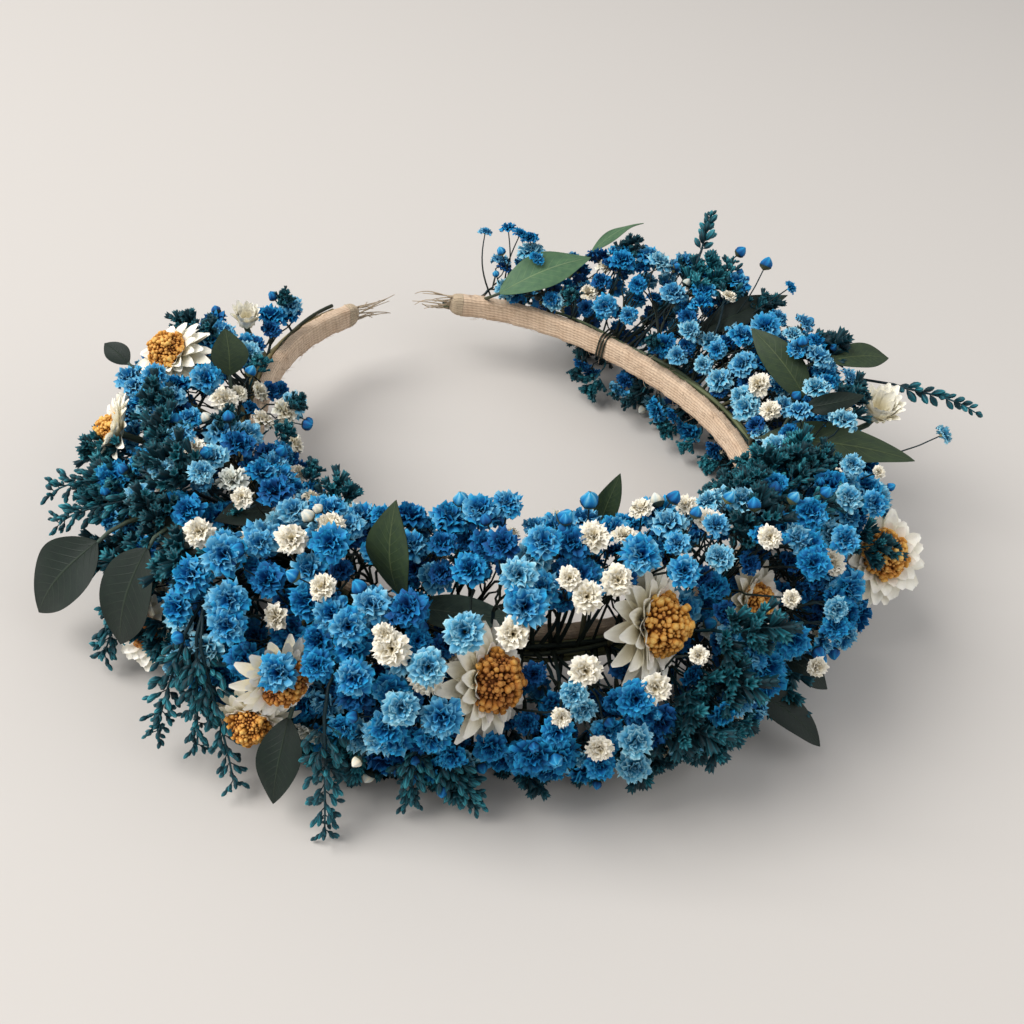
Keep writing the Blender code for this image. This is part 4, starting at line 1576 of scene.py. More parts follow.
@dataclass(frozen=True)
class Daisy:
    """An everlasting daisy: rows of pointed papery bracts round a grainy domed centre.

    Attributes:
        name: the piece's name.
        root: the angle where its stalk leaves the stem bundle.
        spot: its middle: angle, and parts of the garland's out and up.
        size: its size, of the full radius.
        way: what it faces: along the band, outwards and up.
        dome: the dome's radius, of the flower's.
        dome_tone: from brown, 0, to pale gold, 1.
        openness: from 0, a closed bud, to 1, bracts swept back.
        shown: how much of it no small flower hides.
        radius: the full radius.
    """

    name: str
    root: float
    spot: Triple
    size: float
    way: Triple
    dome: float = 0.54
    dome_tone: float = 0.5
    openness: float = 1.0
    shown: float = 0.8
    radius: float = 0.0125

    def directions(self) -> tuple[Array, Array, float]:
        """Returns the flower's middle, its axis and its radius."""
        return CROWN.placed(self.spot), CROWN.facing(self.spot[0], self.way), self.radius * self.size

    def keep_clear(self) -> None:
        """Keeps small flowers off the bracts and the dome."""
        middle, axis, r = self.directions()
        CLEARINGS.keep(middle + axis * r * 0.1, middle + axis * r * 1.6, r * 0.80)
        CLEARINGS.keep_in_view(middle + axis * r * 0.4, r * self.shown)

    def bracts(self, rng: np.random.Generator) -> list[Shape]:
        """Builds the rows of bracts, unit size, facing +Z."""
        t = np.array([0.0, 0.2, 0.42, 0.64, 0.82, 0.93, 1.0])
        s = np.linspace(-1, 1, 5)
        # count, length, width, lean at the base and at the tip in degrees, root radius
        opened = self.openness
        rows = (
            (14, 1.00, 0.180, 12, -18, 0.16),
            (13, 0.84, 0.180, 24, -4, 0.23),
            (13, 0.64, 0.165, 36, 10, 0.31),
            (12, 0.42, 0.140, 48, 26, 0.39),
        )
        parts = []
        for number, (count, length, width, first, last, root) in enumerate(rows):
            yaw = (np.arange(count) + 0.45 * number) * (math.tau / count) + rng.uniform(-0.1, 0.1, count)
            close = (1 - opened) * 62
            start = np.radians(np.minimum(first + close + rng.uniform(-5, 5, count), 88))
            end = np.radians(last + close * 1.5 + rng.uniform(-12, 12, count))
            lean = start[:, None] + (end - start)[:, None] * t
            steps = np.diff(t, prepend=0)[None] * (length * rng.uniform(0.88, 1.06, count))[:, None]
            r = root + np.cumsum(np.cos(lean) * steps, axis=1)
            z = -0.16 + 0.05 * number + np.cumsum(np.sin(lean) * steps, axis=1)
            half = width * np.sin(np.pi * np.minimum(0.14 + 0.86 * t, 1.0) ** 1.5) ** 0.6
            half[-1] = 0.045
            cup = 0.42 * (s**2)[None, None] * half[None, :, None]
            rr = r[:, :, None] - np.sin(lean)[:, :, None] * cup
            zz = z[:, :, None] + np.cos(lean)[:, :, None] * cup
            side = (s[None] * half[:, None])[None] * np.ones((count, 1, 1))
            grid = round_axis(rr, side, zz, yaw)
            tones = 0.52 + 0.12 * number + rng.uniform(-0.14, 0.14, count)
            parts.append(sheets(grid, Kind.BRACT, tones, 0.10))
        return parts

    def centre(self, rng: np.random.Generator) -> list[Shape]:
        """Builds the dome and its crowd of tiny florets, unit size, facing +Z."""
        dome = self.dome
        count = 260
        index = np.arange(count) + 0.5
        polar = np.arccos(1 - index / count * 1.02)
        turn = index * math.pi * (3 - math.sqrt(5))
        ways = np.stack([np.sin(polar) * np.cos(turn), np.sin(polar) * np.sin(turn), np.cos(polar)], axis=1)
        base = ways * np.array([dome, dome, dome * 0.94]) * 0.82 + np.array([0, 0, 0.13])
        clump = np.sin(ways[:, 0] * 9 + 1) + np.sin(ways[:, 1] * 11 + 2) + np.sin(ways[:, 2] * 8)
        lean = unit(ways + rng.normal(0, 0.16, ways.shape))
        sides = np.arange(5) * (math.tau / 5)
        rings = [(0.0, 0.030), (0.55, 0.036), (0.88, 0.046), (1.0, 0.036), (1.04, 0.002)]
        grid = np.array([[[q * math.cos(a), q * math.sin(a), h * 0.15] for a in sides] for h, q in rings])
        floret = sheets(grid[None], Kind.DOME, np.array([0.0]), 0.12, True)
        sizes = (1.0 + 0.20 * clump) * rng.uniform(0.75, 1.2, count)
        tones = self.dome_tone + 0.12 * clump + rng.uniform(-0.20, 0.20, count)
        frames = turned_frames(lean, rng.uniform(0, math.tau, count)) * sizes[:, None, None]
        up = np.linspace(-0.25, math.pi / 2 - 0.02, 9)[:, None]
        around = (np.arange(20) * (math.tau / 20))[None]
        rise = np.sin(up) * 0.86 + 0 * around
        ball = np.stack([np.cos(up) * np.cos(around), np.cos(up) * np.sin(around), rise], axis=-1)
        core = ball * dome * 0.88 + np.array([0, 0, 0.13])
        return [
            sheets(core[None], Kind.DOME, np.array([0.08]), 0.06, True),
            floret.copies(frames, base, tones),
        ]

    def build(self, workshop: Workshop) -> None:
        """Builds the daisy and lets it replace its plain solid."""
        rng = np.random.default_rng(int(self.root * 10) + 5000)
        middle, axis, r = self.directions()
        parts = self.bracts(rng)
        if self.dome > 0:
            parts += self.centre(rng)
        frames = turned_frames(axis[None], rng.uniform(0, math.tau, 1)) * r
        flower = Shape.joined(parts).copies(frames, middle[None], np.zeros(1))
        root = CROWN.stem_place(self.root)
        path = bend(root, middle - axis * 0.1 * r, unit(middle - root), axis, 8, 0.38)
        stalk = rod(path, 0.70 * MM, 0.90 * MM, Kind.STEM, 0.7, 6)
        workshop.make(self.name, Shape.joined([flower, stalk]), DRIED, (self.name,), "daisy")


@dataclass(frozen=True)
class Sprig:
    """A loose teal sprig: a thin stem with pairs of short branches that carry closed calyces.

    Attributes:
        name: the piece's name.
        root: the angle where it leaves the stem bundle.
        base: where its branches start: angle, and parts of the garland's out and up.
        tip: where it ends, in the same way.
        nodes: the plain solids that it stands for.
        pairs: how many pairs of branches it has.
        crowd: calyces on each branch.
        branch: the length of the longest branch.
        calyx_size: a calyx's length.
        droop: how strongly its end bends down.
    """

    name: str
    root: float
    base: Triple
    tip: Triple
    nodes: tuple[str, ...] = ()
    pairs: int = 11
    crowd: int = 1
    branch: float = 0.0008
    calyx_size: float = 0.0040
    droop: float = 0.35

    def build(self, workshop: Workshop) -> None:
        """Builds the sprig.

        Args:
            workshop: makes the piece.
        """
        rng = np.random.default_rng(int(abs(self.root) * 7) + 7000)
        start, end = CROWN.placed(self.base), CROWN.placed(self.tip)
        root = CROWN.stem_place(self.root)
        run = unit(end - start)
        first = bend(root, start, unit(start - root), run, 5, 0.38)
        second = bend(start, end, run, unit(run - np.array([0, 0, self.droop])), 12, 0.34)
        path = np.concatenate([first[:-1], second])
        stem = rod(path, 0.50 * MM, 0.20 * MM, Kind.TEAL, 0.15)
        t = np.linspace(0.05, 1.0, self.pairs)
        spots = np.stack([np.interp(t, np.linspace(0, 1, 13), second[:, i]) for i in range(3)], axis=1)
        spots = np.repeat(spots, 2, axis=0)
        taper = np.repeat(np.linspace(1.0, 0.45, self.pairs), 2)
        yaw = np.arange(len(spots)) * math.pi + np.repeat(np.arange(self.pairs) * 1.2, 2)
        side = unit(np.cross(run, [0, 0, 1.0]))
        lean = side * np.cos(yaw)[:, None] + np.cross(run, side) * np.sin(yaw)[:, None]
        ways = unit(lean * 0.9 + run * 0.75 + rng.normal(0, 0.15, lean.shape))
        ends = spots + ways * (self.branch * taper)[:, None]
        twigs = np.stack([spots, (spots + ends) / 2, ends], axis=1)
        parts = [stem, rods(twigs, np.full(twigs.shape[:2], 1.4e-4), Kind.TEAL, np.full(len(ends), 0.2), 3)]
        calyx = CLOSED_CALYX.build()
        for share in np.linspace(1.0, 0.35, self.crowd):
            own = unit(ways + run * 0.3 + rng.normal(0, 0.35 * (self.crowd > 1), ways.shape))
            sizes = self.calyx_size * taper**0.6 * rng.uniform(0.75, 1.15, len(taper))
            frames = turned_frames(own, rng.uniform(0, math.tau, len(own))) * sizes[:, None, None]
            where = spots + (ends - spots) * share
            parts.append(calyx.copies(frames, where, rng.uniform(0.15, 0.75, len(where))))
        workshop.make(self.name, Shape.joined(parts), DRIED, self.nodes, "teal_sprig" if self.nodes else None)


@dataclass(frozen=True)
class LooseStem:
    """A thin dark stem that stands out of the garland with one bud or head at its end.

    Attributes:
        root: the angle where it leaves the stem bundle.
        spot: its end: angle, and parts of the garland's out and up.
        radius_mm: the size of its flower.
        bud: True where the flower is still closed.
        tone: from deep, 0, to pale, 1.
    """

    root: float
    spot: Triple
    radius_mm: float
    bud: bool = False
    tone: float = 0.6

    def shapes(self, templates: Templates, number: int) -> list[Shape]:
        """Builds the stem and its flower.

        Args:
            templates: the flower shapes.
            number: counts the loose stems.

        Returns:
            The shapes.
        """
        end, root = CROWN.placed(self.spot), CROWN.stem_place(self.root)
        side = 0.35 if number % 2 else -0.35
        along, _ = CROWN.sides(self.spot[0])
        way = unit(unit(end - root) + along * side + np.array([0, 0, 0.3]))
        path = bend(root, end, unit(end - root - along * side * 0.02), way, 10, 0.42)
        stem = rod(path, 0.34 * MM, 0.19 * MM, Kind.STEM, 0.12)
        flower = templates.blue_bud if self.bud else templates.blue[number % len(templates.blue)]
        frames = turned_frames(way[None], np.array([number * 1.3])) * (self.radius_mm / 1000)
        return [stem, flower.copies(frames, end[None], np.array([self.tone]))]


# ---------------------------------------------------------------- band, stems and wires


@dataclass(frozen=True)
class Band:
    """The jute-wrapped band, its tips, and the spring core inside.

    Attributes:
        turn_width: how far the ribbon moves on at each turn.
        overlap_step: the height of one turn's edge over the next.
        rings_per_turn: cross-sections drawn for each turn.
        sides: points round a cross-section.
        fibres: loose fibres that stand off the ribbon.
    """

    turn_width: float = 0.0085
    overlap_step: float = 0.00032
    rings_per_turn: int = 14
    sides: int = 28
    fibres: int = 900

    def outline(self) -> Array:
        """Gives the rounded cross-section as (out, up) pairs, (sides, 2)."""
        turn = np.arange(self.sides) * (math.tau / self.sides)
        half = np.array(CROWN.band_size) / 2 + 0.15 * MM
        cos, sin = np.cos(turn), np.sin(turn)
        size = (np.abs(cos) ** 5 + np.abs(sin) ** 5) ** (-1 / 5)
        return np.stack([half[0] * cos * size, half[1] * sin * size], axis=1)

    def wrapped(self, angles: Array, scale: Array) -> Shape:
        """Builds wound ribbon over a stretch of band.

        Args:
            angles: the cross-sections' angles.
            scale: the size of each cross-section.

        Returns:
            The ribbon's surface.
        """
        outline = self.outline()
        way = unit(outline / np.array(CROWN.band_size))
        run = np.radians(angles) * CROWN.radius / self.turn_width
        turn = np.arange(self.sides) / self.sides
        part = (run[:, None] + turn[None]) % 1.0
        step = self.overlap_step * (part**1.6 - 0.35 + 0.12 * np.sin(part * math.tau * 3))
        flat = outline[None] * scale[:, None, None] + way[None] * step[..., None]
        grid = CROWN.at(angles[:, None], flat[..., 0], CROWN.level + flat[..., 1])
        return sheets(grid[None], Kind.JUTE, np.array([0.5]), 0.98, True)

    def fuzz(self, start: float, end: float, count: int, seed: int) -> Shape:
        """Builds fine fibres standing off the ribbon between two angles."""
        rng = np.random.default_rng(seed)
        angle = rng.uniform(start, end, count)
        outline = self.outline()
        pick = rng.integers(0, self.sides, count)
        base = CROWN.at(angle, outline[pick, 0], CROWN.level + outline[pick, 1])
        along, outwards = CROWN.sides(angle)
        way = outwards * outline[pick, 0:1] / CROWN.band_size[0]
        way[:, 2] += outline[pick, 1] / CROWN.band_size[1]
        way = unit(way)
        drift = along * rng.choice([-1.0, 1.0], (count, 1)) + rng.normal(0, 0.5, (count, 3))
        length = rng.uniform(0.0008, 0.0028, (count, 1))
        t = np.linspace(0, 1, 4)[None, :, None]
        lift = way[:, None] * (0.45 * t * (1.5 - t)) + unit(drift)[:, None] * (t**1.3)
        paths = base[:, None] + lift * length[:, None]
        widths = np.tile(np.linspace(7e-5, 4e-5, 4), (count, 1))
        return rods(paths, widths, Kind.JUTE, rng.uniform(0.3, 0.9, count), 3)

    def build(self, workshop: Workshop) -> None:
        """Builds the wrap and both tips.

        Args:
            workshop: makes the pieces.
        """
        start, end = CROWN.band_ends
        length = math.radians(end - start) * CROWN.radius
        count = int(length / self.turn_width * self.rings_per_turn)
        angles = np.linspace(start, end, count)
        wrap = Shape.joined([
            self.wrapped(angles, np.ones(count)),
            self.fuzz(start, end, self.fibres, 77),
        ])
        workshop.make("wound_jute_ribbon", wrap, {Kind.JUTE: JUTE}, ("band_wrap",), "band_wrap")
        for name, tip, way in (("left_tip", start, -1), ("right_tip", end, 1)):
            self.build_tip(workshop, name, tip, way)
        core = bpy.data.objects.get(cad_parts["band_core"].name)
        core.data.materials.clear()
        core.data.materials.append(PAINTS.get(SPRING_STEEL))

    def build_tip(self, workshop: Workshop, name: str, tip: float, way: int) -> None:
        """Builds one tip: wound ribbon that narrows, and frayed ends of raffia.

        Args:
            workshop: makes the piece.
            name: left_tip or right_tip.
            tip: the angle where the band ends.
            way: 1 or -1, towards the gap.
        """
        rng = np.random.default_rng(90 + way)
        t = np.linspace(0, 1, 22)
        scale = np.sqrt(np.clip(1 - (t**3) * 0.93, 0.02, 1))
        cap = self.wrapped(tip + way * (0.05 + t * 3.2), scale)
        count = 16
        angle = tip + way * rng.uniform(1.0, 3.2, count)
        out, lift = rng.uniform(-0.8 * MM, 0.8 * MM, count), rng.uniform(-3 * MM, 3 * MM, count)
        base = CROWN.at(angle, out, CROWN.level + lift)
        along, _ = CROWN.sides(tip + way * 3.0)
        ways = unit(along * way + rng.normal(0, 0.16, (count, 3)))
        bends = unit(ways + rng.normal(0, 0.35, (count, 3)) + np.array([0, 0, -0.15]))
        reach = rng.uniform(0.004, 0.013, count)
        paths = np.array([
            bend(b, b + w * q * 0.9 + v * q * 0.2, w, v, 6) for b, w, v, q in zip(base, ways, bends, reach)
        ])
        widths = np.tile(np.linspace(2.6e-4, 1.2e-4, 7), (count, 1))
        wisps = rods(paths, widths, Kind.JUTE, rng.uniform(0.5, 0.98, count), 4)
        workshop.make(f"{name}_binding", Shape.joined([cap, wisps]), {Kind.JUTE: RAFFIA},
                      (f"{name}_cap",), f"{name}_cap")


@dataclass(frozen=True)
class StemBundle:
    """The stems bound along the outer side of the band, and the wires that hold them.

    Attributes:
        stems: how many stems lie side by side.
        start: the angle where they begin.
        end: the angle where they end.
        wire_angles: the middles of the wire bindings.
        wire_turns: how often a wire goes round.
    """

    stems: int = 9
    start: float = -166.0
    end: float = 166.0
    wire_angles: tuple[float, ...] = (-94.0, 3.0, 123.0)
    wire_turns: int = 3

    def build(self, workshop: Workshop) -> None:
        """Builds the stems and the wires.

        Args:
            workshop: makes the pieces.
        """
        rng = np.random.default_rng(400)
        angles = np.linspace(self.start, self.end, 170)
        parts = []
        for i in range(self.stems):
            turn = math.tau * i / self.stems
            sway = 0.5 * np.sin(np.radians(angles) * 3 + i)
            twist = turn + np.radians(angles) * rng.uniform(1.2, 2.4) + sway
            wide = 0.9 * MM + 0.4 * MM * np.sin(np.radians(angles) * 5 + i * 2)
            first = rng.uniform(self.start, self.start + 30) if i % 2 else self.start
            last = rng.uniform(self.end - 30, self.end) if i % 3 else self.end
            keep = (angles >= first) & (angles <= last)
            out = CROWN.stem_out + wide * np.cos(twist)
            up = CROWN.level + 2.2 * wide * np.sin(twist)
            path = CROWN.at(angles, out, up)[keep]
            width = rng.uniform(0.45, 0.75) * MM
            parts.append(rod(path, width, width, Kind.STEM, rng.uniform(0.25, 0.95), 6))
        workshop.make("bound_stems", Shape.joined(parts), DRIED, ("stem_bundle",), "stem_bundle")
        for number, angle in enumerate(self.wire_angles, 1):
            self.build_wire(workshop, number, angle)

    def build_wire(self, workshop: Workshop, number: int, angle: float) -> None:
        """Builds one wire binding of a few turns round the band and the stems.

        Args:
            workshop: makes the piece.
            number: counts the wires.
            angle: its place along the band.
        """
        t = np.linspace(0, 1, 40 * self.wire_turns + 1)
        turn = t * math.tau * self.wire_turns
        size = (np.abs(np.cos(turn)) ** 4 + np.abs(np.sin(turn)) ** 4) ** (-1 / 4)
        low, high = -CROWN.band_size[0] / 2 - 6e-4, CROWN.stem_out + 0.0022
        out = (low + high) / 2 + (high - low) / 2 * np.cos(turn) * size
        up = CROWN.level + (CROWN.band_size[1] / 2 + 6e-4) * np.sin(turn) * size
        place = angle + (t - 0.5) * np.degrees(0.0011 * self.wire_turns / CROWN.radius)
        path = CROWN.at(place, out, up)
        coil = rod(path, 0.30 * MM, 0.30 * MM, Kind.METAL, 0.5, 7)
        node = f"binding_wire_{number:02d}"
        workshop.make(f"{node}_coil", coil, {Kind.METAL: WIRE_METAL}, (node,), "binding_wire")


# ---------------------------------------------------------------- finishes of single pieces

DARK_LEAF = LeafFinish("dark_leaf", tint(21, 36, 28), tint(15, 28, 24), tint(48, 62, 46))
OLIVE_LEAF = LeafFinish("olive_leaf", tint(52, 68, 42), tint(38, 54, 38), tint(96, 108, 70))
PALE_LEAF = LeafFinish("sage_leaf", tint(84, 116, 82), tint(66, 98, 74), tint(140, 158, 116))
# The grey leaf's colours are lifted above the leaf's own to light it where it lies in shade: painted light.
GREY_LEAF = LeafFinish("grey_leaf", tint(92, 112, 100), tint(74, 94, 86), tint(134, 146, 124))
LEAF_STALK = replace(DRIED[Kind.STEM], name="leaf_stalk", shelf=(0.80, 0.98))
# Jute and raffia: the first colour is the yarns' ridges under painted light, the second is the painted shade
# between the yarns.
JUTE = JuteFinish("wound_jute", tint(240, 214, 186), tint(184, 148, 116))
RAFFIA = JuteFinish("raffia_end", tint(236, 216, 186), tint(186, 154, 118))
SPRING_STEEL = MetalFinish("spring_steel", tint(180, 182, 186), tint(140, 142, 146), 0.35)
WIRE_METAL = MetalFinish("dull_wire", tint(92, 96, 88), tint(54, 60, 52), 0.45)


# ---------------------------------------------------------------- the garland

# For each row of bunches: its lowest and highest tilt, the angles where one bunch ends
# and the next begins, and the kind of each bunch.
BUNCH_ROWS = (
    ((46, 136), (-151, -123), ("blue",)),
    ((46, 150), (-123, -90, -55, -20, 15, 46), ("teal", "ivory", "blue", "blue", "teal")),
    ((46, 92), (46, 74, 103, 129, 154), ("blue", "blue", "teal", "blue")),
    (
        (-20, 42),
        (-139, -102, -70, -40, -10, 18, 50, 83, 116, 149),
        ("blue", "teal", "blue", "blue", "teal", "blue", "blue", "ivory", "blue"),
    ),
    ((-85, -20), (-128, -79, -34, 6, 45, 87, 132), ("ivory", "teal", "teal", "blue", "teal", "teal")),
)
# Where a bunch is lighter, darker or looser than its kind
SPECIAL = {
    "blue_bunch_02": {"tone": 0.50},
    "blue_bunch_03": {"tone": 0.55, "ivory": 0.18, "sprays": 0.020},
    "teal_bunch_01": {"gap": 0.0082, "sprays": 0.0125, "tone": 0.54, "ivory": 0.28},
    "teal_bunch_02": {"tone": 0.58, "ivory": 0.20, "blue_part": (14.0, 68.0)},
    "teal_bunch_03": {"gap": 0.0085, "sprays": 0.0130, "ivory": 0.05},
    "teal_bunch_04": {"gap": 0.0090, "sprays": 0.0105, "ivory": 0.25},
    "teal_bunch_05": {"tone": 0.46, "ivory": 0.18, "blue_part": (2.0, 60.0)},
    "blue_bunch_04": {"gap": 0.0074, "tone": 0.58, "ivory": 0.12},
    "blue_bunch_05": {"gap": 0.0076, "tone": 0.58},
    "blue_bunch_06": {"gap": 0.0078, "tone": 0.55},
    "blue_bunch_09": {"tone": 0.36},
    "blue_bunch_10": {"tone": 0.52, "ivory": 0.20},
    "ivory_bunch_02": {"ivory": 0.25, "tone": 0.5},
}

LEAVES = (
    Leaf("leaf_upright_front", -51.0, (-43.6, 0.50, 1.31), (-46.6, 0.42, 1.99), 0.0124, (-0.5, 0.8, 0.35),
         OLIVE_LEAF, shown=1.0),
    Leaf("leaf_left_low", -88.0, (-84.0, 1.42, 0.88), (-86.0, 1.88, 0.26), 0.0150, (0.4, 0.7, 0.60),
         DARK_LEAF, shown=1.0),
    Leaf("leaf_left_front", -80.0, (-75.5, 1.22, 1.14), (-75.5, 1.52, 0.44), 0.0140, (0.3, 0.9, 0.40),
         DARK_LEAF, shown=1.0),
    Leaf("leaf_hanging_front", -46.0, (-51.4, 1.26, 0.66), (-50.0, 1.56, 0.16), 0.0092, (0.1, 0.95, 0.25),
         DARK_LEAF, shown=0.9),
    Leaf("leaf_sage_tip", 157.5, (153.6, -0.16, 0.93), (134.0, 0.58, 1.20), 0.0125, (-0.5, 0.1, 0.85),
         PALE_LEAF, shown=1.0),
    Leaf("leaf_long_front", -41.0, (-43.0, 0.33, 1.08), (-26.8, 0.26, 1.06), 0.0075, (0.0, 0.8, 0.60),
         GREY_LEAF, shown=0.9),
    Leaf("leaf_narrow_upright", -14.0, (-9.6, -0.34, 1.42), (-8.8, -0.34, 1.86), 0.0056, (-0.5, 0.6, 0.60),
         OLIVE_LEAF, shown=0.8),
    Leaf("leaf_right_low", 9.5, (11.8, 0.83, 0.42), (16.3, 1.37, 0.13), 0.0090, (-0.2, 0.3, 0.93),
         DARK_LEAF, shown=0.8),
    Leaf("leaf_right_arm", 64.0, (69.5, 0.46, 1.26), (84.0, 0.18, 1.60), 0.0105, (-0.6, -0.3, 0.75),
         OLIVE_LEAF, shown=0.8),
    Leaf("leaf_right_folded", 57.0, (58.2, 0.20, 1.48), (59.4, 0.70, 1.64), 0.0056, (-0.8, -0.2, 0.55),
         DARK_LEAF, shown=0.9),
    Leaf("leaf_right_outer", 87.0, (79.0, 0.95, 1.34), (79.0, 1.60, 1.36), 0.0085, (-0.4, 0.1, 0.90),
         OLIVE_LEAF),
    Leaf("leaf_far_arm", 107.0, (101.5, 0.25, 1.10), (97.5, 1.30, 1.40), 0.0080, (-0.3, -0.4, 0.85),
         DARK_LEAF),
    Leaf("leaf_right_broad", 71.0, (61.5, -0.02, 1.06), (56.0, 1.28, 1.16), 0.0110, (-0.6, -0.1, 0.80),
         OLIVE_LEAF, shown=0.9),
    Leaf("leaf_left_arm", -109.0, (-111.8, 0.22, 1.22), (-117.5, 0.28, 1.50), 0.0100, (0.5, -0.5, 0.70),
         OLIVE_LEAF, shown=0.9),
)
EXTRA_LEAVES = (
    Leaf("leaf_small_left", -112.0, (-118.0, 1.10, 1.06), (-121.0, 1.33, 1.12), 0.0060, (0.2, 0.4, 0.9),
         DARK_LEAF),
    Leaf("leaf_tucked_left", -64.0, (-70.0, 0.93, 1.21), (-79.0, 1.10, 1.15), 0.0080, (0.2, 0.5, 0.85),
         DARK_LEAF),
    Leaf("leaf_tucked_inner", -66.0, (-72.0, 0.27, 1.15), (-76.0, 0.67, 1.12), 0.0080, (0.2, -0.2, 0.9),
         DARK_LEAF),
    Leaf("leaf_tip_low", 18.0, (22.0, 0.74, 0.36), (24.0, 1.12, 0.24), 0.0090, (0.0, 0.3, 0.95), DARK_LEAF),
    Leaf("leaf_sage_slender", 140.0, (135.0, 0.80, 1.15), (128.0, 1.47, 1.33), 0.0040, (-0.2, 0.3, 0.9),
         PALE_LEAF),
)
DAISIES = (
    Daisy("daisy_01", -9.0, (-8.4, 0.56, 1.27), 1.00, (0.60, 0.70, 0.45), 0.47, 0.66, shown=0.95),
    Daisy("daisy_02", -34.0, (-30.4, 0.80, 1.02), 0.94, (0.80, 0.40, 0.50), 0.47, 0.24, shown=0.9),
    Daisy("daisy_03", -54.0, (-52.8, 1.24, 0.96), 0.70, (0.90, 0.45, 0.10), 0.48, 0.22, shown=0.6),
    Daisy("daisy_04", -61.0, (-56.0, 1.29, 0.50), 0.68, (0.40, 0.90, -0.15), 0.48, 0.50, shown=0.6),
    Daisy("daisy_05", 39.0, (39.6, 1.03, 0.92), 0.94, (-0.55, 0.40, 0.70), 0.44, 0.62, shown=0.8),
    Daisy("daisy_06", 14.0, (10.4, 0.54, 1.15), 0.70, (0.15, 0.80, 0.55), 0.40, 0.45, 0.7, shown=0.7),
    Daisy("daisy_07", 76.0, (71.0, 1.30, 1.08), 0.74, (-0.30, -0.10, 0.95), 0.0, 0.6, 0.25, shown=0.8),
    Daisy("daisy_08", -117.0, (-119.0, 0.74, 1.16), 0.78, (0.25, 0.50, 0.80), 0.46, 0.60),
    Daisy("daisy_09", -141.0, (-140.0, 0.34, 1.00), 0.52, (0.20, -0.15, 0.95), 0.0, 0.6, 0.15),
    Daisy("daisy_10", -101.0, (-103.0, 1.12, 0.98), 0.74, (-0.05, 0.90, 0.45), 0.30, 0.75, 0.8),
    Daisy("daisy_11", -71.0, (-75.0, 1.27, 0.40), 0.64, (0.40, 0.80, 0.45), 0.28, 0.02, 0.9),
)
SPRIGS = (
    Sprig("teal_sprig_right", 81.0, (76.0, 1.62, 1.18), (68.5, 2.16, 1.24), ("teal_sprig_01",)),
    Sprig("teal_sprig_far", 116.0, (113.0, 0.90, 1.56), (115.5, 1.22, 1.78), ("teal_sprig_02",)),
)
# Feathery sprigs that hang over the garland's edge or lie across it: root, base and tip
FEATHERS = (
    (-66.0, (-62.5, 1.34, 0.92), (-55.5, 1.54, 0.14)),
    (-68.0, (-63.5, 1.32, 0.96), (-60.0, 1.56, 0.30)),
    (-70.0, (-65.0, 1.34, 0.94), (-64.5, 1.66, 0.28)),
    (-50.0, (-47.0, 1.28, 0.84), (-44.6, 1.55, 0.10)),
    (-42.0, (-37.5, 1.00, 0.66), (-37.0, 1.18, 0.16)),
    (-39.0, (-34.4, 1.05, 0.52), (-29.8, 1.10, 0.16)),
    (-85.0, (-88.0, 0.90, 1.14), (-91.5, 1.62, 1.02)),
    (-83.0, (-85.0, 0.98, 1.12), (-89.0, 1.62, 0.86)),
    (-82.0, (-78.8, 1.32, 0.62), (-78.2, 1.56, 0.18)),
    (6.0, (11.0, 0.12, 1.42), (34.0, 0.34, 1.66)),
    (12.0, (17.0, 0.34, 1.50), (30.0, 0.62, 1.64)),
    (96.0, (100.0, 0.50, 1.36), (106.0, 0.86, 1.58)),
)
LOOSE_STEMS = (
    LooseStem(-24.0, (-18.4, 0.12, 1.95), 2.0, True, 0.55),
    LooseStem(-30.0, (-23.1, 0.25, 1.92), 1.9, True, 0.50),
    LooseStem(-36.0, (-41.6, 0.80, 1.50), 2.0, True, 0.60),
    LooseStem(-12.0, (-4.0, 0.10, 1.90), 1.6, True, 0.30),
    LooseStem(-40.0, (-38.0, 0.10, 1.84), 1.7, True, 0.65),
    LooseStem(70.0, (63.5, 1.66, 1.20), 3.0, False, 0.92),
    LooseStem(154.0, (157.6, 0.36, 1.27), 2.3, False, 0.70),
    LooseStem(153.0, (152.4, 0.52, 1.27), 2.9, False, 0.45),
    LooseStem(151.0, (150.3, 0.30, 1.34), 2.6, False, 0.40),
    LooseStem(149.0, (147.6, 0.40, 1.27), 3.0, False, 0.35),
    LooseStem(147.0, (145.8, 0.16, 1.20), 2.8, False, 0.50),
    LooseStem(150.0, (153.5, 0.20, 1.16), 1.5, True, 0.50),
    LooseStem(110.0, (106.0, 0.95, 1.66), 1.8, True, 0.25),
    LooseStem(104.0, (99.0, 0.90, 1.70), 2.0, True, 0.35),
    LooseStem(100.0, (94.0, 1.00, 1.62), 2.2, False, 0.45),
)
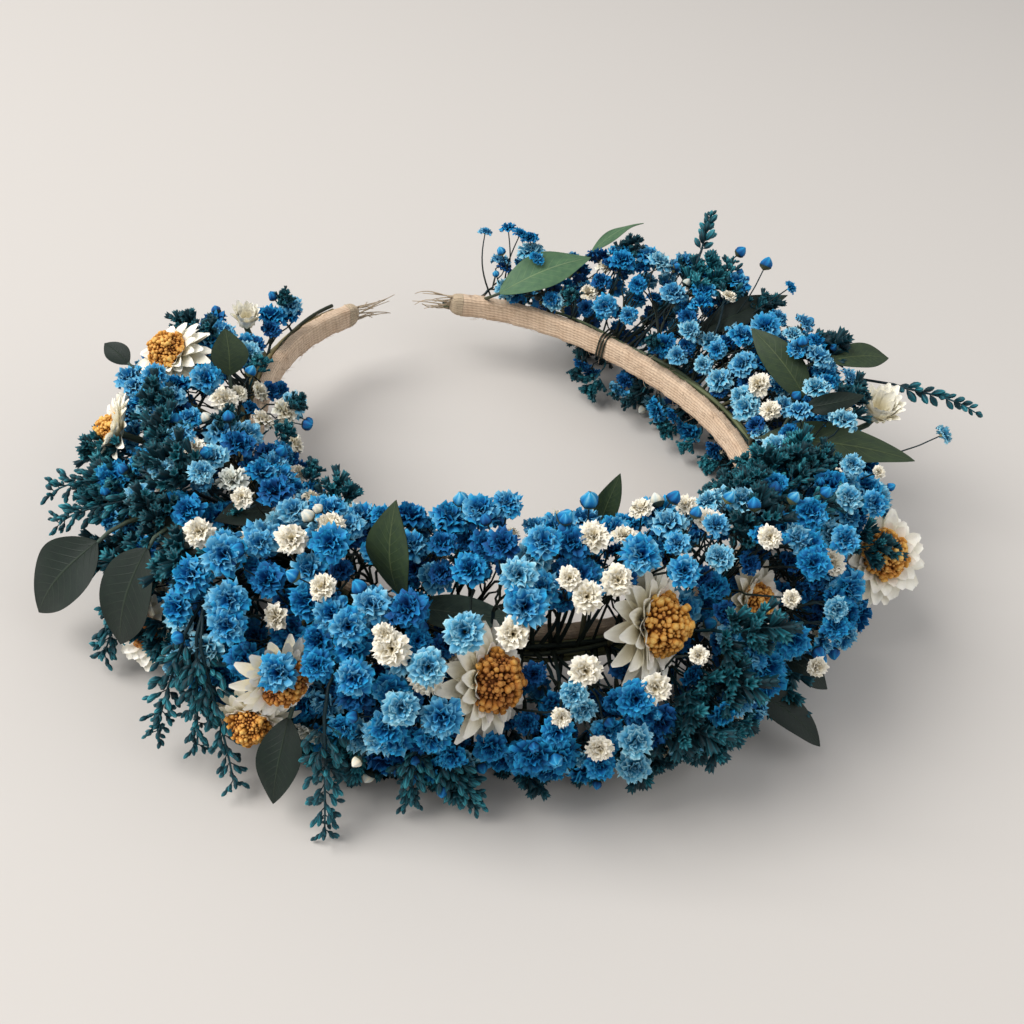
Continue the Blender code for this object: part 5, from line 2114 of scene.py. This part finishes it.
# Heads with places of their own, as angle, tilt and radius in millimetres
ACCENTS = tuple(
    Accent(angle, tilt, size, kind, tone)
    for kind, tone, places in (
        (Kind.IVORY, 0.75, (
            (-102, 67, 4.0), (-69, 56, 2.8), (-69, 40, 3.8), (-57, 54, 3.8), (-42, 41, 2.8), (-41, 38, 4.3),
            (-29, 47, 3.8), (-23, 61, 2.8), (-21, 57, 3.8), (-17, 61, 3.8), (-19, 74, 3.8), (-8, 88, 3.1),
            (0, 86, 2.8), (7, 65, 3.1), (6, 47, 2.4), (-8, 40, 2.4), (-21, 39, 3.8), (-13, 33, 3.8),
            (-23, 26, 2.4), (-18, 13, 3.3), (11, 19, 2.8), (39, 55, 1.9), (62, 90, 3.4), (72, 86, 4.0),
        )),
        (Kind.BLUE, 0.88, (
            (-83, 41, 3.3), (-78, 51, 3.3), (-39, 23, 4.3), (-37, 36, 4.3), (-34, 46, 4.7), (-29, 61, 4.3),
            (-22, 33, 3.3), (-14, 14, 4.3), (-12, -6, 4.3), (14, 37, 3.3), (27, 61, 3.8), (36, 65, 3.3),
            (91, 90, 3.4),
        )),
        (Kind.BLUE, 0.60, (
            (-109, 39, 4.0), (-108, 58, 4.6), (-64, 40, 5.2), (-60, 32, 4.7), (-59, 26, 4.7), (-52, 21, 4.7),
            (-46, 40, 4.3), (-44, 28, 4.3), (-35, 83, 4.3), (-31, 87, 3.8), (-28, 54, 5.2), (-26, 71, 4.3),
            (-13, 68, 4.7), (-8, 62, 3.8), (20, 53, 4.0), (32, 52, 3.8), (75, 69, 3.4), (85, 69, 5.1),
            (90, 82, 3.4), (118, 84, 3.4), (125, 84, 4.6),
        )),
        (Kind.BLUE, 0.42, (
            (-90, 22, 4.7), (-52, 58, 4.7), (-48, 28, 3.8), (-23, 21, 3.8), (-17, 2, 3.8),
            (-15, 30, 4.3), (6, 35, 4.3), (12, 53, 4.3), (14, 31, 3.8), (20, 81, 3.3), (119, 75, 3.4),
        )),
    )
    for angle, tilt, size in places
)


@dataclass
class Garland:
    """Everything that grows along the band."""

    workshop: Workshop

    def build(self) -> None:
        """Builds daisies, leaves and sprigs, then the bunches round them."""
        for plant in (*LEAVES, *EXTRA_LEAVES, *DAISIES):
            plant.keep_clear()
        for angle in (*np.arange(*VALLEY_ANGLES, 3.0), *np.arange(*TIP_ANGLES, 3.0)):
            CLEARINGS.keep_in_view(CROWN.at(angle, 0.0, CROWN.level + 2 * MM), BARE_RADIUS)
        for number, leaf in enumerate(LEAVES, 1):
            leaf.build(self.workshop, (f"leaf_{number:02d}",))
        for leaf in EXTRA_LEAVES:
            leaf.build(self.workshop)
        for plant in (*DAISIES, *SPRIGS):
            plant.build(self.workshop)
        for number, (root, base, tip) in enumerate(FEATHERS, 1):
            feather = Sprig(f"teal_feather_{number:02d}", root, base, tip, pairs=14, crowd=4, branch=0.0050,
                            calyx_size=0.0027, droop=0.6)
            feather.build(self.workshop)
        templates = Templates.grown()
        loose = [shape for i, stem in enumerate(LOOSE_STEMS) for shape in stem.shapes(templates, i)]
        self.workshop.make("loose_stems", Shape.joined(loose), DRIED)
        self.build_bunches(templates)

    def build_bunches(self, templates: Templates) -> None:
        """Builds the bunches row by row.

        Args:
            templates: the flower shapes.
        """
        counts: dict[str, int] = {}
        for (low, high), edges, kinds in BUNCH_ROWS:
            for start, end, kind in zip(edges, edges[1:], kinds):
                counts[kind] = counts.get(kind, 0) + 1
                name = f"{kind}_bunch_{counts[kind]:02d}"
                recipe = replace(RECIPES[kind], **SPECIAL.get(name, {}))
                accents = tuple(a for a in ACCENTS if start <= a.angle < end and low <= a.tilt < high)
                bunch = Bunch(name, recipe, (start, end), (low, high), sum(counts.values()), accents)
                bunch.build(self.workshop, templates)


# ---------------------------------------------------------------- the room


@dataclass(frozen=True)
class Room:
    """The pale table, the soft window light and the camera.

    Attributes:
        eye: the camera's place round the band's own middle.
        aim: what it looks at, in the same way.
        roll: its turn about its own line of sight, in degrees.
        lens_mm: its focal length on a 36 mm sensor.
        table_size: the length of the table's sides.
    """

    eye: Triple = (-0.1399, -0.2113, 0.2097)
    aim: Triple = (-0.01037, -0.02576, 0.0220)
    roll: float = 10.464
    lens_mm: float = 40.43
    table_size: float = 30.0

    def add_table(self) -> None:
        """Adds the plain pale table top."""
        bpy.ops.mesh.primitive_plane_add(size=self.table_size)
        table = bpy.context.object
        table.name = "table"
        sheet = NodeSheet("pale_table")
        sheet.plug(sheet.shader, {"Base Color": (*tint(204, 199, 194), 1), "Roughness": 0.9})
        table.data.materials.append(sheet.material)

    def add_lamp(self, name: str, place: Triple, size: float, power: float, colour: Colour) -> None:
        """Adds a soft square lamp that points at the crown."""
        light = bpy.data.lights.new(name, "AREA")
        light.shape, light.size, light.energy, light.color = "SQUARE", size, power, colour
        lamp = bpy.data.objects.new(name, light)
        lamp.location = place
        lamp.rotation_euler = (-Vector(place)).to_track_quat("-Z", "Y").to_euler()
        bpy.context.collection.objects.link(lamp)

    def add_light(self) -> None:
        """Adds the window light and the room's own light."""
        self.add_lamp("window", (-1.1, 0.35, 1.25), 1.1, 30.0, (1.0, 0.985, 0.96))
        self.add_lamp("room_fill", (0.9, -0.9, 1.3), 1.6, 7.0, (0.94, 0.97, 1.0))
        world = bpy.data.worlds.new("room")
        world.use_nodes = True
        backdrop = world.node_tree.nodes["Background"]
        backdrop.inputs["Color"].default_value = (*tint(236, 236, 236), 1)
        backdrop.inputs["Strength"].default_value = 0.58
        bpy.context.scene.world = world

    def add_camera(self) -> None:
        """Adds the camera."""
        eye, aim = Vector(self.eye), Vector(self.aim)
        back = (eye - aim).normalized()
        level = Vector((0, 0, 1)).cross(back).normalized()
        rise = back.cross(level)
        turn = math.radians(self.roll)
        right = level * math.cos(turn) + rise * math.sin(turn)
        up = rise * math.cos(turn) - level * math.sin(turn)
        camera = bpy.data.cameras.new("camera")
        camera.lens, camera.sensor_width, camera.clip_start = self.lens_mm, 36.0, 0.01
        holder = bpy.data.objects.new("camera", camera)
        matrix = Matrix((right, up, back)).transposed().to_4x4()
        matrix.translation = eye + Vector(SHIFT)
        holder.matrix_world = matrix
        bpy.context.collection.objects.link(holder)
        bpy.context.scene.camera = holder

    def build(self) -> None:
        """Sets up the whole room."""
        self.add_table()
        self.add_light()
        self.add_camera()
        bpy.context.scene.view_settings.view_transform = "Standard"


def main() -> None:
    """Builds the crown and its room."""
    logging.basicConfig(level=logging.INFO, format="%(message)s")
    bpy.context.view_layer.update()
    workshop = Workshop()
    Room().build()
    Band().build(workshop)
    StemBundle().build(workshop)
    Garland(workshop).build()
    bpy.context.view_layer.update()
    faces = sum(len(piece.data.polygons) for piece in workshop.pieces)
    report.info("%d pieces, %d faces", len(workshop.pieces), faces)


if __name__ == "__main__":
    main()
